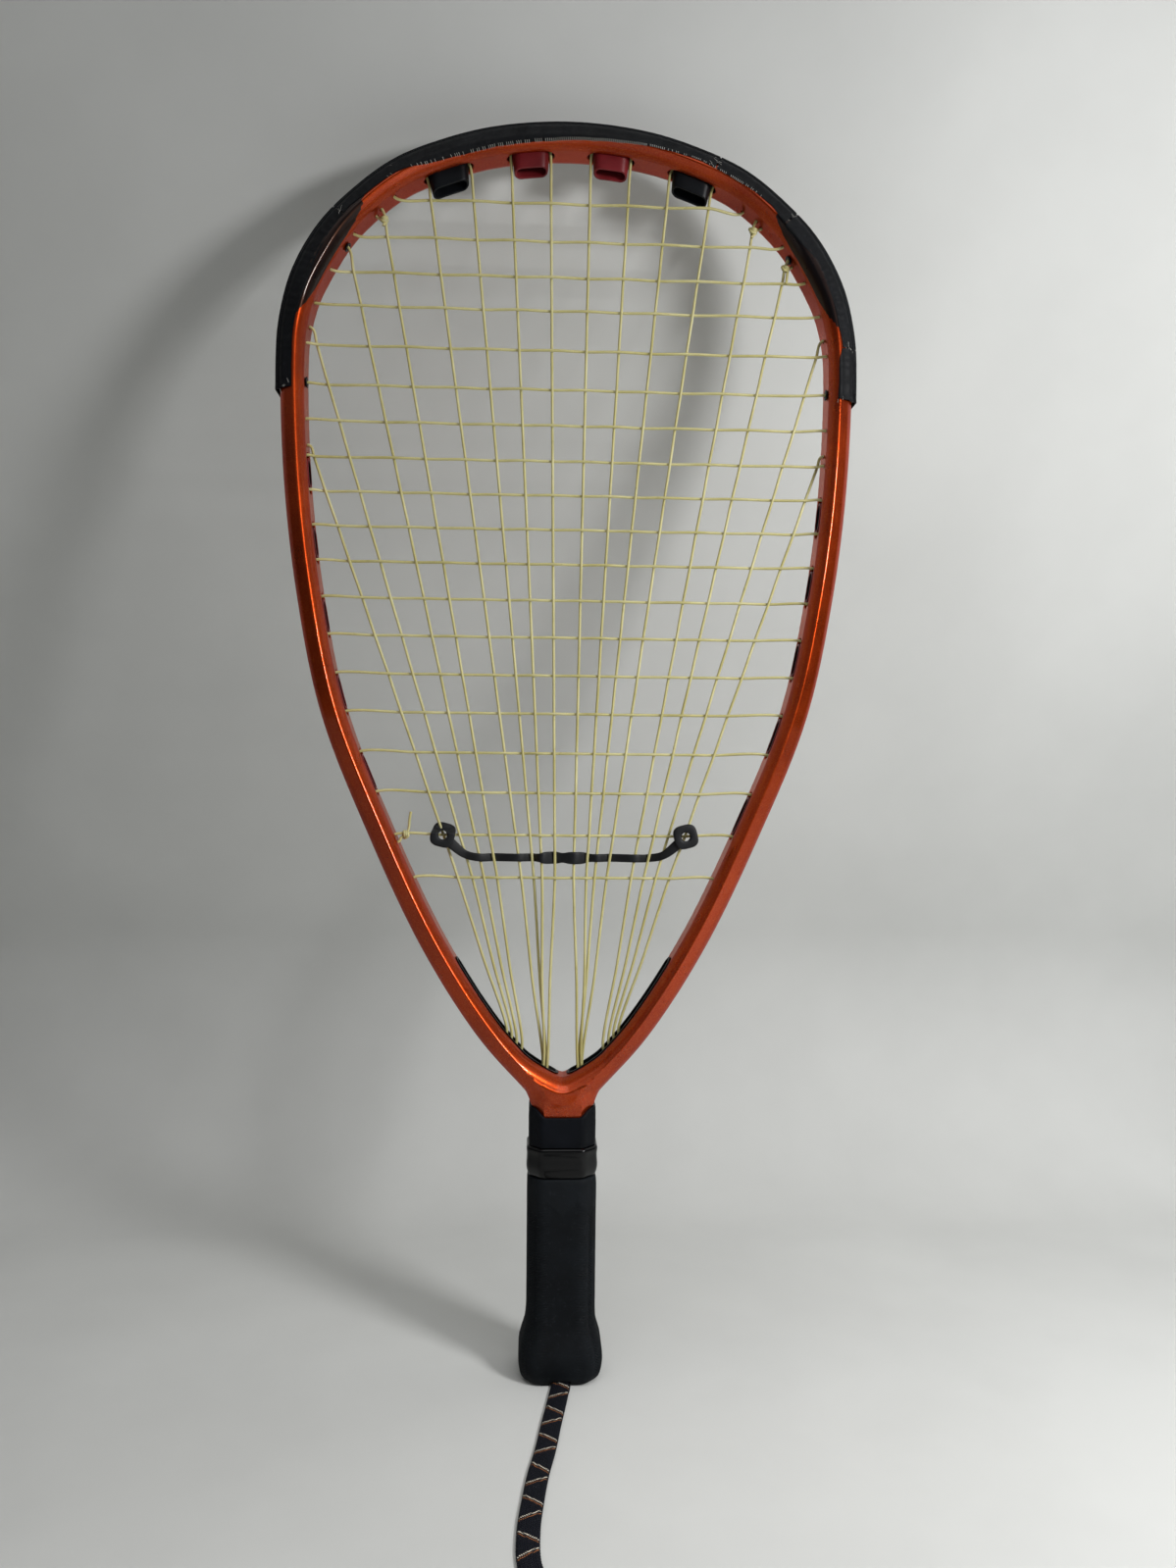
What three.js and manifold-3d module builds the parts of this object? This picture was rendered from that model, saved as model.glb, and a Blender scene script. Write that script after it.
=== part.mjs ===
// A racquetball racket: a teardrop hoop moulded in one piece with its throat and shaft, strung in two
// strings, with port inserts, a head guard under tape, a rubber grip and a wrist lanyard.
// Millimetres. The racket stands on its butt end: +Z runs up the handle to the head tip, X lies across
// the face and the front of the string bed looks along -Y.
import * as THREE from "three";
import { mergeVertices } from "three/addons/utils/BufferGeometryUtils.js";
import Module from "manifold-3d";

const wasm = await Module();
wasm.setup();

// Overall sizes
const RACKET_LENGTH = 558.8;
const HEAD_WIDTH = 259;
const WIDEST_HEIGHT = 450;
const THROAT_HALF_WIDTH = 15.9;

// General clearances and overruns
const SEAT_GAP = 0.3;
const OVERRUN = 2;
const SAME_PLACE = 0.001;
const SEEK_STEPS = 40;

// Hoop section: "inward" is measured from the outer wall, "deep" from the string plane
const SECTION_WIDTH = 10.5;
const SECTION_HALF_DEPTH = 11;
const OUTER_WALL_HALF = 6;
const INNER_WALL_HALF = 6.5;
const RIDGE_INWARD = 6.6;
const RIDGE_FLAT = 0.9;
const INNER_CHAMFER = 0.9;
const INNER_CHAMFER_DEEP = 1.2;
const GROOVE_DEPTH = 2.4;
const GROOVE_HALF_WIDTH = 3.2;
const GROOVE_FLARE = 0.3;
const HOOP_WALL = 1.4;
const RIDGE_WALL = 1.7;

// Head outline, as hand-picked shares: of the half width and the rise from the widest point up to the tip,
// and below it of the widening and the rise from the throat
const HEAD_OUTLINE_SHARES = [
  [0.258, 0.9716],
  [0.4447, 0.9097],
  [0.6071, 0.825],
  [0.7426, 0.7017],
  [0.8617, 0.552],
  [0.9499, 0.36],
  [0.9906, 0.1657],
  [1, 0],
];
const ARM_OUTLINE_SHARES = [
  [0.9837, 0.842],
  [0.9283, 0.6806],
  [0.8291, 0.519],
  [0.6437, 0.3575],
  [0.4198, 0.196],
  [0.1939, 0.0747],
  [0, 0],
  [-0.0996, -0.0392],
];
const HOOP_STEPS = 60;
const CAVITY_STEPS = 40;

// Head guard and the tape over it
const GUARD_THICKNESS = 1;
const GUARD_LEG = 6.8;
const TAPE_THICKNESS = 0.5;
const TAPE_LEG = 7.6;
const GUARD_END_HEIGHT = 440;
const TAPE_OVERHANG = 4;
const TAPE_JOINT = 0.4;
const TAPE_SEAM_SHARES = [-0.57, 0.34, 0.55, 0.88];
const COVER_STEPS = 30;

// Strings
const STRING_RADIUS = 0.62;
const STRING_GAP = 0.22;
const STRING_SIDES = 5;
const GROOVE_RUN_INWARD = 1.2;
const GROOVE_RUN_STEP = 9;
const LANE_OFFSET = 2;
const MOUTH_LIFT = 1;
const STRING_HOLE_RADIUS = 1.1;
const STRING_HOLE_SIDES = 5;
const MAIN_TOP_WIDTH_SHARES = [0.0776, 0.231, 0.3858, 0.5474, 0.7214, 0.8521];
const MAIN_SIDE_HEIGHT_SHARES = [0.834, 0.74];
const MAIN_LOW_WIDTH_SHARES = [
  0.063, 0.1488, 0.2041, 0.2881, 0.4503, 0.538, 0.6162, 0.7116,
];
const CROSS_HEIGHT_SHARES = [
  0.939, 0.9085, 0.8797, 0.8527, 0.8207, 0.7892, 0.7604, 0.7317, 0.7042, 0.6766,
  0.6487, 0.6197, 0.5898, 0.5592, 0.5285, 0.4966, 0.4647, 0.4307, 0.3966,
];
const NEAR_WALL = 6;
const TIE_HOLE_SHIFT = 3.4;
const WEAVE_ROOM_SHARE = 1.6;
// The mains beside which the string ends are tied, counted from the middle out
const LEFT_TIE_INDEX = 4;
const RIGHT_TIE_INDEX = 5;
const CROSS_TIE_INDEX = 4;

// Ports and their inserts
const PORT_HALF_HEIGHT = 4.2;
const PORT_END_ROOM = 1.1;
const INSERT_STRING_GAP = 0.4;
const INSERT_WALL = 1;
const INSERT_TAPER = 0.4;
const INSERT_ROOT = 3;
const TOP_INSERT_REACH = 7.2;
const SIDE_INSERT_REACH = 0.5;
const PORT_ARC_STEPS = 2;
const SIDE_PORT_COUNT = 5;
const LEFT_PORT_INDEX = 7;
const RIGHT_PORT_INDEX = 8;

// Throat slots and their troughs
const SLOT_HALF_HEIGHT = 4.2;
const SLOT_RISE = 59.4;
const SLOT_END_WIDTH = 5.6;
const TROUGH_WALL = 0.8;
const TROUGH_DEPTH = 6.1;
const TROUGH_RIM = 0.5;
const TROUGH_STEPS = 9;
const BAR_RADIUS = 0.8;
const BAR_DEPTH = 2.6;
const BAR_SIDES = 6;
const BAR_TURN_SHARES = [[0.9, 0.6], [0.35, 1]];
const INNER_BUNDLE_PITCH = 2.3;
const INNER_BUNDLE_SPLIT = 0.85;
const INNER_BUNDLE_FROM_END = 4.1;
const OUTER_BUNDLE_SHARE = 0.330891964;
const OUTER_BUNDLE_PITCH = 3.5;

// Grommets and string knots
const GROMMET_BORE = 0.95;
const GROMMET_BARREL = 1.6;
const GROMMET_FLANGE = 2.5;
const GROMMET_FLANGE_THICKNESS = 0.4;
const GROMMET_LIFT = 0.45;
const GROMMET_LENGTH = 3;
const GROMMET_SIDES = 8;
const KNOT_LENGTH = 2.9;
const KNOT_RADIUS = 1.9;
const KNOT_LIFT = 2.3;
const KNOT_SIDES = 8;
const KNOT_TAIL_OFFSET = 1.5;
const KNOT_SHARES = [[0.8, 0], [1, 0.3], [1, 0.7], [0.8, 1]];

// Vibration dampener
const BAND_HEIGHT = 3.4;
const BAND_MIDDLE_HEIGHT = 5;
const BAND_THICKNESS = 1.2;
const BAND_DROP = 10;
const BAND_GAP = 0.27;
const LOOP_OUTER_RADIUS = 5.2;
const LOOP_INNER_RADIUS = 1.9;
const LOOP_THICKNESS = 3;
const LOOP_SIDES = 10;
const BAND_EDGE_SHARE = 0.6;
const BAND_MIDDLE_SHARE = 0.2;
const BAND_RISE_SHARE = 0.75;
const BAND_ROW_INDEX = 17;
const BAND_BEHIND_INDEX = { left: [0, 2, 4], right: [1, 3, 5] };

// Shaft and handle
const SHAFT_HALF_WIDTH = 13.2;
const SHAFT_HALF_DEPTH = 11.2;
const SHAFT_BEVEL = 5;
const SHAFT_WALL = 2.2;
const SHAFT_FOOT = 8;
const THROAT_RIDGE_RISE = 1.5;
const THROAT_RIDGE_BEVEL = 7;
const APEX_RISE = 6.7;
const APEX_HALF_WIDTH = 14;
const APEX_BEVEL = 4;
const APEX_WEB = 7;
const THROAT_BLEND = 6;
const BORE_TAPER = 2;
const GRIP_HALF_WIDTH = 15.4;
const GRIP_HALF_DEPTH = 13.4;
const GRIP_BEVEL = 6;
const GRIP_TOP = 90;
const FLARE_HALF_WIDTH = 18.7;
const FLARE_HALF_DEPTH = 16.6;
const FLARE_START = 26;
const FLARE_HEIGHT = 12;
const RIM_HALF_WIDTH = 15;
const RIM_HALF_DEPTH = 13;
const RIM_CORNER = 2.5;
const RIM_LAND = 4.5;
const COLLAR_HEIGHT = 13.7;
const COLLAR_BULGE = 0.5;
const COLLAR_CHAMFER = 2.6;
const HANDLE_TAPE_HEIGHT = 14.7;
const HANDLE_TAPE_THICKNESS = 1.3;
const THROAT_CLEAR = 7.9;

// Butt end and wrist lanyard
const CAP_THICKNESS = 2.5;
const CAP_SPIGOT = 8;
const LACE_WIDTH = 8.5;
const LACE_THICKNESS = 1.8;
const LACE_SIDE_GAP = 0.5;
const LACE_REST = 0.15;
const ANCHOR_LENGTH = 9;
const ANCHOR_HALF_DEPTH = 6;
const ANCHOR_SHARES = [[0.7, 0], [1, 0.3], [1, 0.7], [0.6, 1]];
const WRIST_KNOT_LENGTH = 15;
const WRIST_KNOT_HALF_WIDTH = 9.5;
const WRIST_KNOT_HEIGHT = 9;
const WRIST_KNOT_BEVEL = 1.8;
const WRIST_KNOT_SHARES = [[0.55, 0], [0.95, 0.2], [1, 0.5], [0.95, 0.8], [0.7, 1]];
const LACE_STEP = 11;
const LACE_BEND_STEP = 2.6;
const ROOT_TURN_SHARES = [[0.14, 0.55], [0.62, 0.1], [1.4, 0]];
const LACE_FLOOR = LACE_THICKNESS / 2 + LACE_REST;

// The lace's way over the ground from the butt to the wrist knot: [x, y]
const LEAD_ROUTE = [
  [0, -12.8], [0, -17], [-0.8, -22], [-2.4, -33], [-4.4, -46], [-7.2, -66], [-9.4, -82],
  [-10.6, -98], [-10.8, -116], [-9.6, -135.6], [-8.4, -147], [-8, -153], [-8, -158],
];
// The wrist loop's way from the knot and back to it: [x, y]
const LOOP_ROUTE = [
  [-12.7, -173.6], [-12.7, -178], [-16, -190], [-22, -206], [-28, -224], [-32, -243], [-31.5, -262],
  [-24, -278], [-8, -286], [8, -278], [15.5, -262], [16, -243], [12, -224], [6, -206], [0, -190],
  [-3.3, -178], [-3.3, -173.6],
];
const COVER = 2 * SEAT_GAP + GUARD_THICKNESS + TAPE_THICKNESS;
const FRAME_HALF_WIDTH = HEAD_WIDTH / 2 - COVER;
const FRAME_TOP = RACKET_LENGTH - COVER;
const TAPE_END_HEIGHT = GUARD_END_HEIGHT - TAPE_OVERHANG;
const HANDLE_TOP = GRIP_TOP + COLLAR_HEIGHT + SEAT_GAP + HANDLE_TAPE_HEIGHT;
const THROAT_HEIGHT = HANDLE_TOP + THROAT_CLEAR;
const THROAT_RIDGE_HEIGHT = THROAT_HEIGHT + THROAT_RIDGE_RISE;
const APEX_HEIGHT = THROAT_HEIGHT + APEX_RISE;

// Finishes
const finish = (color, roughness, metalness = 0) =>
  new THREE.MeshStandardMaterial({ color, roughness, metalness });
const COPPER_PAINT = finish(0xb8461a, 0.3, 0.4);
const BLACK_PLASTIC = finish(0x14181c, 0.4);
const RED_PLASTIC = finish(0x8c1f25, 0.45);
const BLACK_TAPE = finish(0x1a1c20, 0.85);
const BLACK_RUBBER = finish(0x101214, 0.75);
const GLOSS_RUBBER = finish(0x0c0e10, 0.25);
const PALE_STRING = finish(0xcfc98a, 0.4);
const BLACK_LACE = finish(0x1b1d26, 0.9);

const racket = new THREE.Group();

function add(name, geometry, material) {
  const mesh = new THREE.Mesh(geometry, material);
  mesh.name = name;
  racket.add(mesh);
}

// Solids: meshes built ring by ring, and joined or cut as closed bodies

function closed(positions, index) {
  const geometry = new THREE.BufferGeometry();
  geometry.setAttribute("position", new THREE.Float32BufferAttribute(positions, 3));
  const a = new THREE.Vector3();
  const b = new THREE.Vector3();
  const c = new THREE.Vector3();
  let volume = 0;
  for (let i = 0; i < index.length; i += 3) {
    a.fromArray(positions, 3 * index[i]);
    b.fromArray(positions, 3 * index[i + 1]);
    c.fromArray(positions, 3 * index[i + 2]);
    volume += a.dot(b.cross(c));
  }
  geometry.setIndex(volume < 0 ? index.slice().reverse() : index);
  geometry.computeVertexNormals();
  return geometry;
}

// A skin over a row of rings of points. Open rows are capped at both ends with the triangles of
// "outline", the ring's flat shape; a looped row joins its last ring to its first.
function skin(rings, outline = null) {
  const count = rings[0].length;
  const looped = outline === null;
  const positions = rings.flat().flatMap((p) => [p.x, p.y, p.z]);
  const index = [];
  const spans = looped ? rings.length : rings.length - 1;
  for (let r = 0; r < spans; r += 1) {
    const near = r * count;
    const far = ((r + 1) % rings.length) * count;
    for (let i = 0; i < count; i += 1) {
      const j = (i + 1) % count;
      index.push(near + i, near + j, far + j, near + i, far + j, far + i);
    }
  }
  if (!looped) {
    const last = (rings.length - 1) * count;
    const turned = THREE.ShapeUtils.area(outline) < 0;
    for (const face of THREE.ShapeUtils.triangulateShape(outline, [])) {
      const [i, j, k] = turned ? face.slice().reverse() : face;
      index.push(k, j, i, last + i, last + j, last + k);
    }
  }
  return closed(positions, index);
}

function solid(geometry) {
  const bare = geometry.clone();
  bare.deleteAttribute("normal");
  bare.deleteAttribute("uv");
  const merged = mergeVertices(bare);
  const vertProperties = new Float32Array(merged.attributes.position.array);
  const triVerts = new Uint32Array(merged.index.array);
  return new wasm.Manifold(new wasm.Mesh({ numProp: 3, vertProperties, triVerts }));
}

function shell(body) {
  const mesh = body.getMesh();
  const geometry = new THREE.BufferGeometry();
  geometry.setAttribute("position", new THREE.BufferAttribute(mesh.vertProperties, 3));
  geometry.setIndex(new THREE.BufferAttribute(mesh.triVerts, 1));
  geometry.computeVertexNormals();
  return geometry;
}

const joined = (bodies) => bodies.reduce((whole, body) => whole.add(body));
const cut = (body, cutters) => (cutters.length ? body.subtract(joined(cutters)) : body);

// The hoop outline and places on it. "along" runs from the head tip, positive down the right arm.

function outlinePoints() {
  const right = [];
  for (const [wide, high] of HEAD_OUTLINE_SHARES) {
    right.push([FRAME_HALF_WIDTH * wide, WIDEST_HEIGHT + (FRAME_TOP - WIDEST_HEIGHT) * high]);
  }
  for (const [wide, high] of ARM_OUTLINE_SHARES) {
    right.push([
      THROAT_HALF_WIDTH + (FRAME_HALF_WIDTH - THROAT_HALF_WIDTH) * wide,
      THROAT_HEIGHT + (WIDEST_HEIGHT - THROAT_HEIGHT) * high,
    ]);
  }
  const left = right.map(([x, z]) => [-x, z]).reverse();
  return [...left, [0, FRAME_TOP], ...right].map(([x, z]) => new THREE.Vector3(x, 0, z));
}

const OUTLINE = new THREE.CatmullRomCurve3(outlinePoints(), false, "centripetal");
OUTLINE.arcLengthDivisions = 2000;
const HALF_HOOP = OUTLINE.getLength() / 2;

function place(along, inward, deep) {
  const share = THREE.MathUtils.clamp(0.5 + along / (2 * HALF_HOOP), 0, 1);
  const at = OUTLINE.getPointAt(share);
  const way = OUTLINE.getTangentAt(share);
  return new THREE.Vector3(at.x + way.z * inward, deep, at.z - way.x * inward);
}

// The place along the right half of the hoop where "reached" turns true
function seek(from, to, reached) {
  let low = from;
  let high = to;
  for (let i = 0; i < SEEK_STEPS; i += 1) {
    const middle = (low + high) / 2;
    if (reached(middle)) high = middle;
    else low = middle;
  }
  return (low + high) / 2;
}

const alongAtHeight = (height, inward = SECTION_WIDTH) =>
  seek(0, HALF_HOOP, (along) => place(along, inward, 0).z < height);
const WIDEST_ALONG = alongAtHeight(WIDEST_HEIGHT, 0);
const alongAtWidth = (width) =>
  seek(0, WIDEST_ALONG, (along) => place(along, SECTION_WIDTH, 0).x > width);
const THROAT_ALONG = alongAtHeight(THROAT_HEIGHT, 0);

const mirrored = (half) => [...half, ...half.map(([a, b]) => [a, -b]).reverse()];
const outlineOf = (profile) => profile.map(([a, b]) => new THREE.Vector2(a, b));

// A profile of [inward, deep] points carried along the hoop
function carried(profile, from, to, steps) {
  const rings = [];
  for (let i = 0; i <= steps; i += 1) {
    const along = from + ((to - from) * i) / steps;
    rings.push(profile.map(([inward, deep]) => place(along, inward, deep)));
  }
  return skin(rings, outlineOf(profile));
}

// An oblong ring of [along, deep] offsets
function oblong(halfLong, halfHigh, straightSteps = 1) {
  const reach = halfLong - halfHigh;
  const ring = [];
  for (const end of [1, -1]) {
    for (let i = 0; i <= 2 * PORT_ARC_STEPS; i += 1) {
      const angle = (i / (2 * PORT_ARC_STEPS) - 0.5) * Math.PI;
      ring.push([end * (reach + halfHigh * Math.cos(angle)), end * halfHigh * Math.sin(angle)]);
    }
    for (let i = 1; i < straightSteps; i += 1) {
      ring.push([end * reach * (1 - (2 * i) / straightSteps), end * halfHigh]);
    }
  }
  return ring;
}

// Rings of one oblong at several depths into the hoop wall: [grow, inward] for each ring
function oblongRings(along, halfLong, halfHigh, levels, { lean = 0, straightSteps = 1 } = {}) {
  return levels.map(([grow, inward]) => {
    const slide = lean * Math.max(0, inward - SECTION_WIDTH);
    return oblong(halfLong + grow, halfHigh + grow, straightSteps)
      .map(([a, deep]) => place(along + a + slide, inward, deep));
  });
}

function circle(radius, sides) {
  const ring = [];
  for (let i = 0; i < sides; i += 1) {
    const angle = (2 * Math.PI * i) / sides;
    ring.push([radius * Math.cos(angle), radius * Math.sin(angle)]);
  }
  return ring;
}

// A section carried through a list of points with mitred corners; "sections" has one for each point
function swept(points, sections) {
  const way = (i) => new THREE.Vector3().subVectors(points[i + 1], points[i]).normalize();
  let before = way(0);
  const side = new THREE.Vector3(0, 1, 0).cross(before);
  if (side.lengthSq() < 0.01) side.set(1, 0, 0).cross(before);
  side.normalize();
  const rings = [];
  for (let i = 0; i < points.length; i += 1) {
    const after = i < points.length - 1 ? way(i) : before;
    const mitre = new THREE.Vector3().addVectors(before, after).normalize();
    const up = new THREE.Vector3().crossVectors(before, side);
    rings.push(sections[i].map(([a, b]) => {
      const spoke = new THREE.Vector3().addScaledVector(side, a).addScaledVector(up, b);
      spoke.addScaledVector(before, -spoke.dot(mitre) / before.dot(mitre));
      return spoke.add(points[i]);
    }));
    side.applyQuaternion(new THREE.Quaternion().setFromUnitVectors(before, after)).normalize();
    before = after;
  }
  return skin(rings, outlineOf(sections[0]));
}

function tube(points, radius, sides) {
  return swept(points, points.map(() => circle(radius, sides)));
}

// Places of the strings at the hoop's inner wall

const INNER_HALF_WIDTH = FRAME_HALF_WIDTH - SECTION_WIDTH;
const MAIN_ALONG = [
  ...MAIN_TOP_WIDTH_SHARES.map((share) => alongAtWidth(share * INNER_HALF_WIDTH)),
  ...MAIN_SIDE_HEIGHT_SHARES.map((share) => alongAtHeight(share * RACKET_LENGTH)),
];
const CROSS_HEIGHTS = CROSS_HEIGHT_SHARES.map((share) => share * RACKET_LENGTH);
const CROSS_ALONG = CROSS_HEIGHTS.map((height) => alongAtHeight(height));
const LAST_CROSS_HEIGHT = CROSS_HEIGHTS[CROSS_HEIGHTS.length - 1];
const LAST_CROSS_HALF_WIDTH = place(CROSS_ALONG[CROSS_ALONG.length - 1], SECTION_WIDTH, 0).x;

// Throat slots: from the slot's top end to its foot beside the apex
const SLOT_FROM = alongAtHeight(THROAT_HEIGHT + SLOT_RISE);
const SLOT_TO = seek(SLOT_FROM, HALF_HOOP, (along) => place(along, SECTION_WIDTH, 0).x < SLOT_END_WIDTH);
const SLOT_MIDDLE = (SLOT_FROM + SLOT_TO) / 2;
const SLOT_HALF = (SLOT_TO - SLOT_FROM) / 2;
const INNER_BUNDLE = SLOT_TO - INNER_BUNDLE_FROM_END;
const OUTER_BUNDLE = SLOT_TO - OUTER_BUNDLE_SHARE * (SLOT_TO - SLOT_FROM);

// Where each main meets its slot: [along, deep], from the innermost main to the outermost
const MAIN_FEET = [
  [INNER_BUNDLE + INNER_BUNDLE_PITCH / 2, -INNER_BUNDLE_SPLIT],
  [INNER_BUNDLE - INNER_BUNDLE_PITCH / 2, -INNER_BUNDLE_SPLIT],
  [INNER_BUNDLE + INNER_BUNDLE_PITCH / 2, INNER_BUNDLE_SPLIT],
  [INNER_BUNDLE - INNER_BUNDLE_PITCH / 2, INNER_BUNDLE_SPLIT],
  [OUTER_BUNDLE + 1.5 * OUTER_BUNDLE_PITCH, 0],
  [OUTER_BUNDLE + 0.5 * OUTER_BUNDLE_PITCH, 0],
  [OUTER_BUNDLE - 0.5 * OUTER_BUNDLE_PITCH, 0],
  [OUTER_BUNDLE - 1.5 * OUTER_BUNDLE_PITCH, 0],
];
const BAR_INWARD = SECTION_WIDTH - BAR_DEPTH;
const BAR_ALONG = [INNER_BUNDLE, OUTER_BUNDLE + OUTER_BUNDLE_PITCH, OUTER_BUNDLE - OUTER_BUNDLE_PITCH];

// Each main has three points on its free length: head mouth, kink at the last cross, throat mouth
function mainPoints(number, side) {
  const [foot, deep] = MAIN_FEET[number];
  const top = place(side * MAIN_ALONG[number], SECTION_WIDTH + MOUTH_LIFT, 0);
  const end = place(side * foot, SECTION_WIDTH, deep);
  const fall = (top.z - LAST_CROSS_HEIGHT) / (top.z - end.z);
  const kink = new THREE.Vector3(
    side * MAIN_LOW_WIDTH_SHARES[number] * LAST_CROSS_HALF_WIDTH,
    deep * fall,
    LAST_CROSS_HEIGHT,
  );
  return [top, kink, end];
}

// Where a main passes a height
function mainAt(number, side, height) {
  const [top, kink] = mainPoints(number, side);
  return new THREE.Vector3().lerpVectors(top, kink, (top.z - height) / (top.z - kink.z));
}

// A run of string in the groove outside the hoop wall
function grooveRun(from, to, fromLane, toLane) {
  const steps = Math.max(1, Math.ceil(Math.abs(to - from) / GROOVE_RUN_STEP));
  const points = [];
  for (let i = 0; i <= steps; i += 1) {
    const lane = i === 0 ? fromLane : toLane;
    points.push(place(from + ((to - from) * i) / steps, GROOVE_RUN_INWARD, lane));
  }
  return points;
}

// A turn of string round a bar in the throat slot, from one foot to the other
function barTurn(side, firstFoot, secondFoot) {
  const [first, deep] = firstFoot;
  const [second] = secondFoot;
  const middle = (first + second) / 2;
  const swing = BAR_RADIUS + STRING_GAP + STRING_RADIUS;
  const out = Math.sign(first - middle);
  const at = (along, inward) => place(side * along, inward, deep);
  const down = (way) => [
    at(middle + way * swing, BAR_INWARD + BAR_RADIUS),
    ...BAR_TURN_SHARES.map(([wide, low]) => at(middle + way * swing * wide, BAR_INWARD - swing * low)),
  ];
  return [...down(out), ...down(-out).reverse()];
}

// Knots: each holds the string that runs from "root" towards "onward"
function knotSeat(root, onward) {
  const way = new THREE.Vector3().subVectors(onward, root).normalize();
  return { way, base: root.clone().addScaledVector(way, KNOT_LIFT) };
}

// Tied ends: the string comes back in through a hole of its own and stops short of its knot
function tieEnd(along, lane, { way, base }, offset) {
  const end = base.clone().addScaledVector(way, -SEAT_GAP * 2);
  return [place(along, SECTION_WIDTH + MOUTH_LIFT, lane), end.add(offset)];
}

const TAIL_BEHIND = new THREE.Vector3(0, KNOT_TAIL_OFFSET, 0);
const TAIL_BELOW = new THREE.Vector3(0, 0, -KNOT_TAIL_OFFSET);

function mainKnot(number, side) {
  const [top, kink] = mainPoints(number, side);
  return knotSeat(top, kink);
}

const tieAlong = (number) => MAIN_ALONG[number] + TIE_HOLE_SHIFT;

function mainString() {
  const points = [];
  const last = MAIN_ALONG.length - 1;
  const half = (side, tieNumber) => {
    const list = [];
    for (let number = 0; number <= last; number += 2) {
      const [topA, kinkA, endA] = mainPoints(number, side);
      const [topB, kinkB, endB] = mainPoints(number + 1, side);
      list.push(topA, kinkA, endA);
      list.push(...barTurn(side, MAIN_FEET[number], MAIN_FEET[number + 1]));
      list.push(endB, kinkB, topB);
      if (number + 1 < last) {
        const from = MAIN_ALONG[number + 1];
        list.push(...grooveRun(side * from, side * MAIN_ALONG[number + 2], 0, 0));
      }
    }
    const tieAt = side * tieAlong(tieNumber);
    list.push(...grooveRun(side * MAIN_ALONG[last], tieAt, 0, LANE_OFFSET));
    list.push(...tieEnd(tieAt, LANE_OFFSET, mainKnot(tieNumber, side), TAIL_BEHIND));
    return list;
  };
  const right = half(1, RIGHT_TIE_INDEX);
  const left = half(-1, LEFT_TIE_INDEX);
  points.push(...right.reverse());
  points.push(...grooveRun(MAIN_ALONG[0], -MAIN_ALONG[0], 0, 0));
  points.push(...left);
  return tube(points, STRING_RADIUS, STRING_SIDES);
}

// The height by which a string clears another that it crosses, where it must swing back in "room"
function weaveHeight(reach, room) {
  const steep = 4 * reach * reach;
  return Math.sqrt((reach * reach) / (1 - steep / Math.max(room * room, WEAVE_ROOM_SHARE * steep)));
}

// The mains that a cross passes, from left to right
function crossingMains(row) {
  const wall = place(CROSS_ALONG[row], SECTION_WIDTH, 0).x;
  const mains = [];
  for (const side of [-1, 1]) {
    for (let number = 0; number < MAIN_ALONG.length; number += 1) {
      const at = mainAt(number, side, CROSS_HEIGHTS[row]);
      const below = place(MAIN_ALONG[number], SECTION_WIDTH, 0).z > CROSS_HEIGHTS[row] + STRING_RADIUS;
      if (below && Math.abs(at.x) < wall) mains.push({ at, order: side * (number + 0.5) });
    }
  }
  return mains.sort((a, b) => a.at.x - b.at.x);
}

function crossPoints(row) {
  const wall = place(CROSS_ALONG[row], SECTION_WIDTH, 0).x;
  const mains = crossingMains(row);
  return mains.map(({ at, order }, i) => {
    const left = i > 0 ? at.x - mains[i - 1].at.x : NEAR_WALL;
    const right = i < mains.length - 1 ? mains[i + 1].at.x - at.x : NEAR_WALL;
    const height = weaveHeight(2 * STRING_RADIUS + STRING_GAP, Math.min(left, right));
    const parity = (Math.floor(order) + row) % 2 === 0 ? 1 : -1;
    const way = wall - Math.abs(at.x) < NEAR_WALL ? -1 : parity;
    return new THREE.Vector3(at.x, at.y + way * height, CROSS_HEIGHTS[row]);
  });
}

const crossMouth = (row, side, lane) =>
  place(side * CROSS_ALONG[row], SECTION_WIDTH + MOUTH_LIFT, lane);

function crossKnot(row) {
  return knotSeat(crossMouth(row, -1, -LANE_OFFSET), crossPoints(row)[0]);
}

function crossString() {
  const lane = -LANE_OFFSET;
  const last = CROSS_ALONG.length - 1;
  const startAt = tieAlong(CROSS_TIE_INDEX);
  const points = tieEnd(startAt, LANE_OFFSET, mainKnot(CROSS_TIE_INDEX, 1), TAIL_BEHIND).reverse();
  points.push(...grooveRun(startAt, CROSS_ALONG[0], LANE_OFFSET, LANE_OFFSET));
  for (let row = 0; row <= last; row += 1) {
    const side = row % 2 === 0 ? 1 : -1;
    const startLane = row === 0 ? LANE_OFFSET : lane;
    const woven = crossPoints(row);
    points.push(crossMouth(row, side, startLane));
    points.push(...(side > 0 ? woven.reverse() : woven));
    points.push(crossMouth(row, -side, lane));
    if (row < last) {
      points.push(...grooveRun(-side * CROSS_ALONG[row], -side * CROSS_ALONG[row + 1], lane, lane));
    }
  }
  const tieAt = CROSS_ALONG[last - 1] + TIE_HOLE_SHIFT;
  points.push(...grooveRun(-CROSS_ALONG[last], -tieAt, lane, lane));
  points.push(...tieEnd(-tieAt, lane, crossKnot(last - 1), TAIL_BELOW));
  return tube(points, STRING_RADIUS, STRING_SIDES);
}

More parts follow.
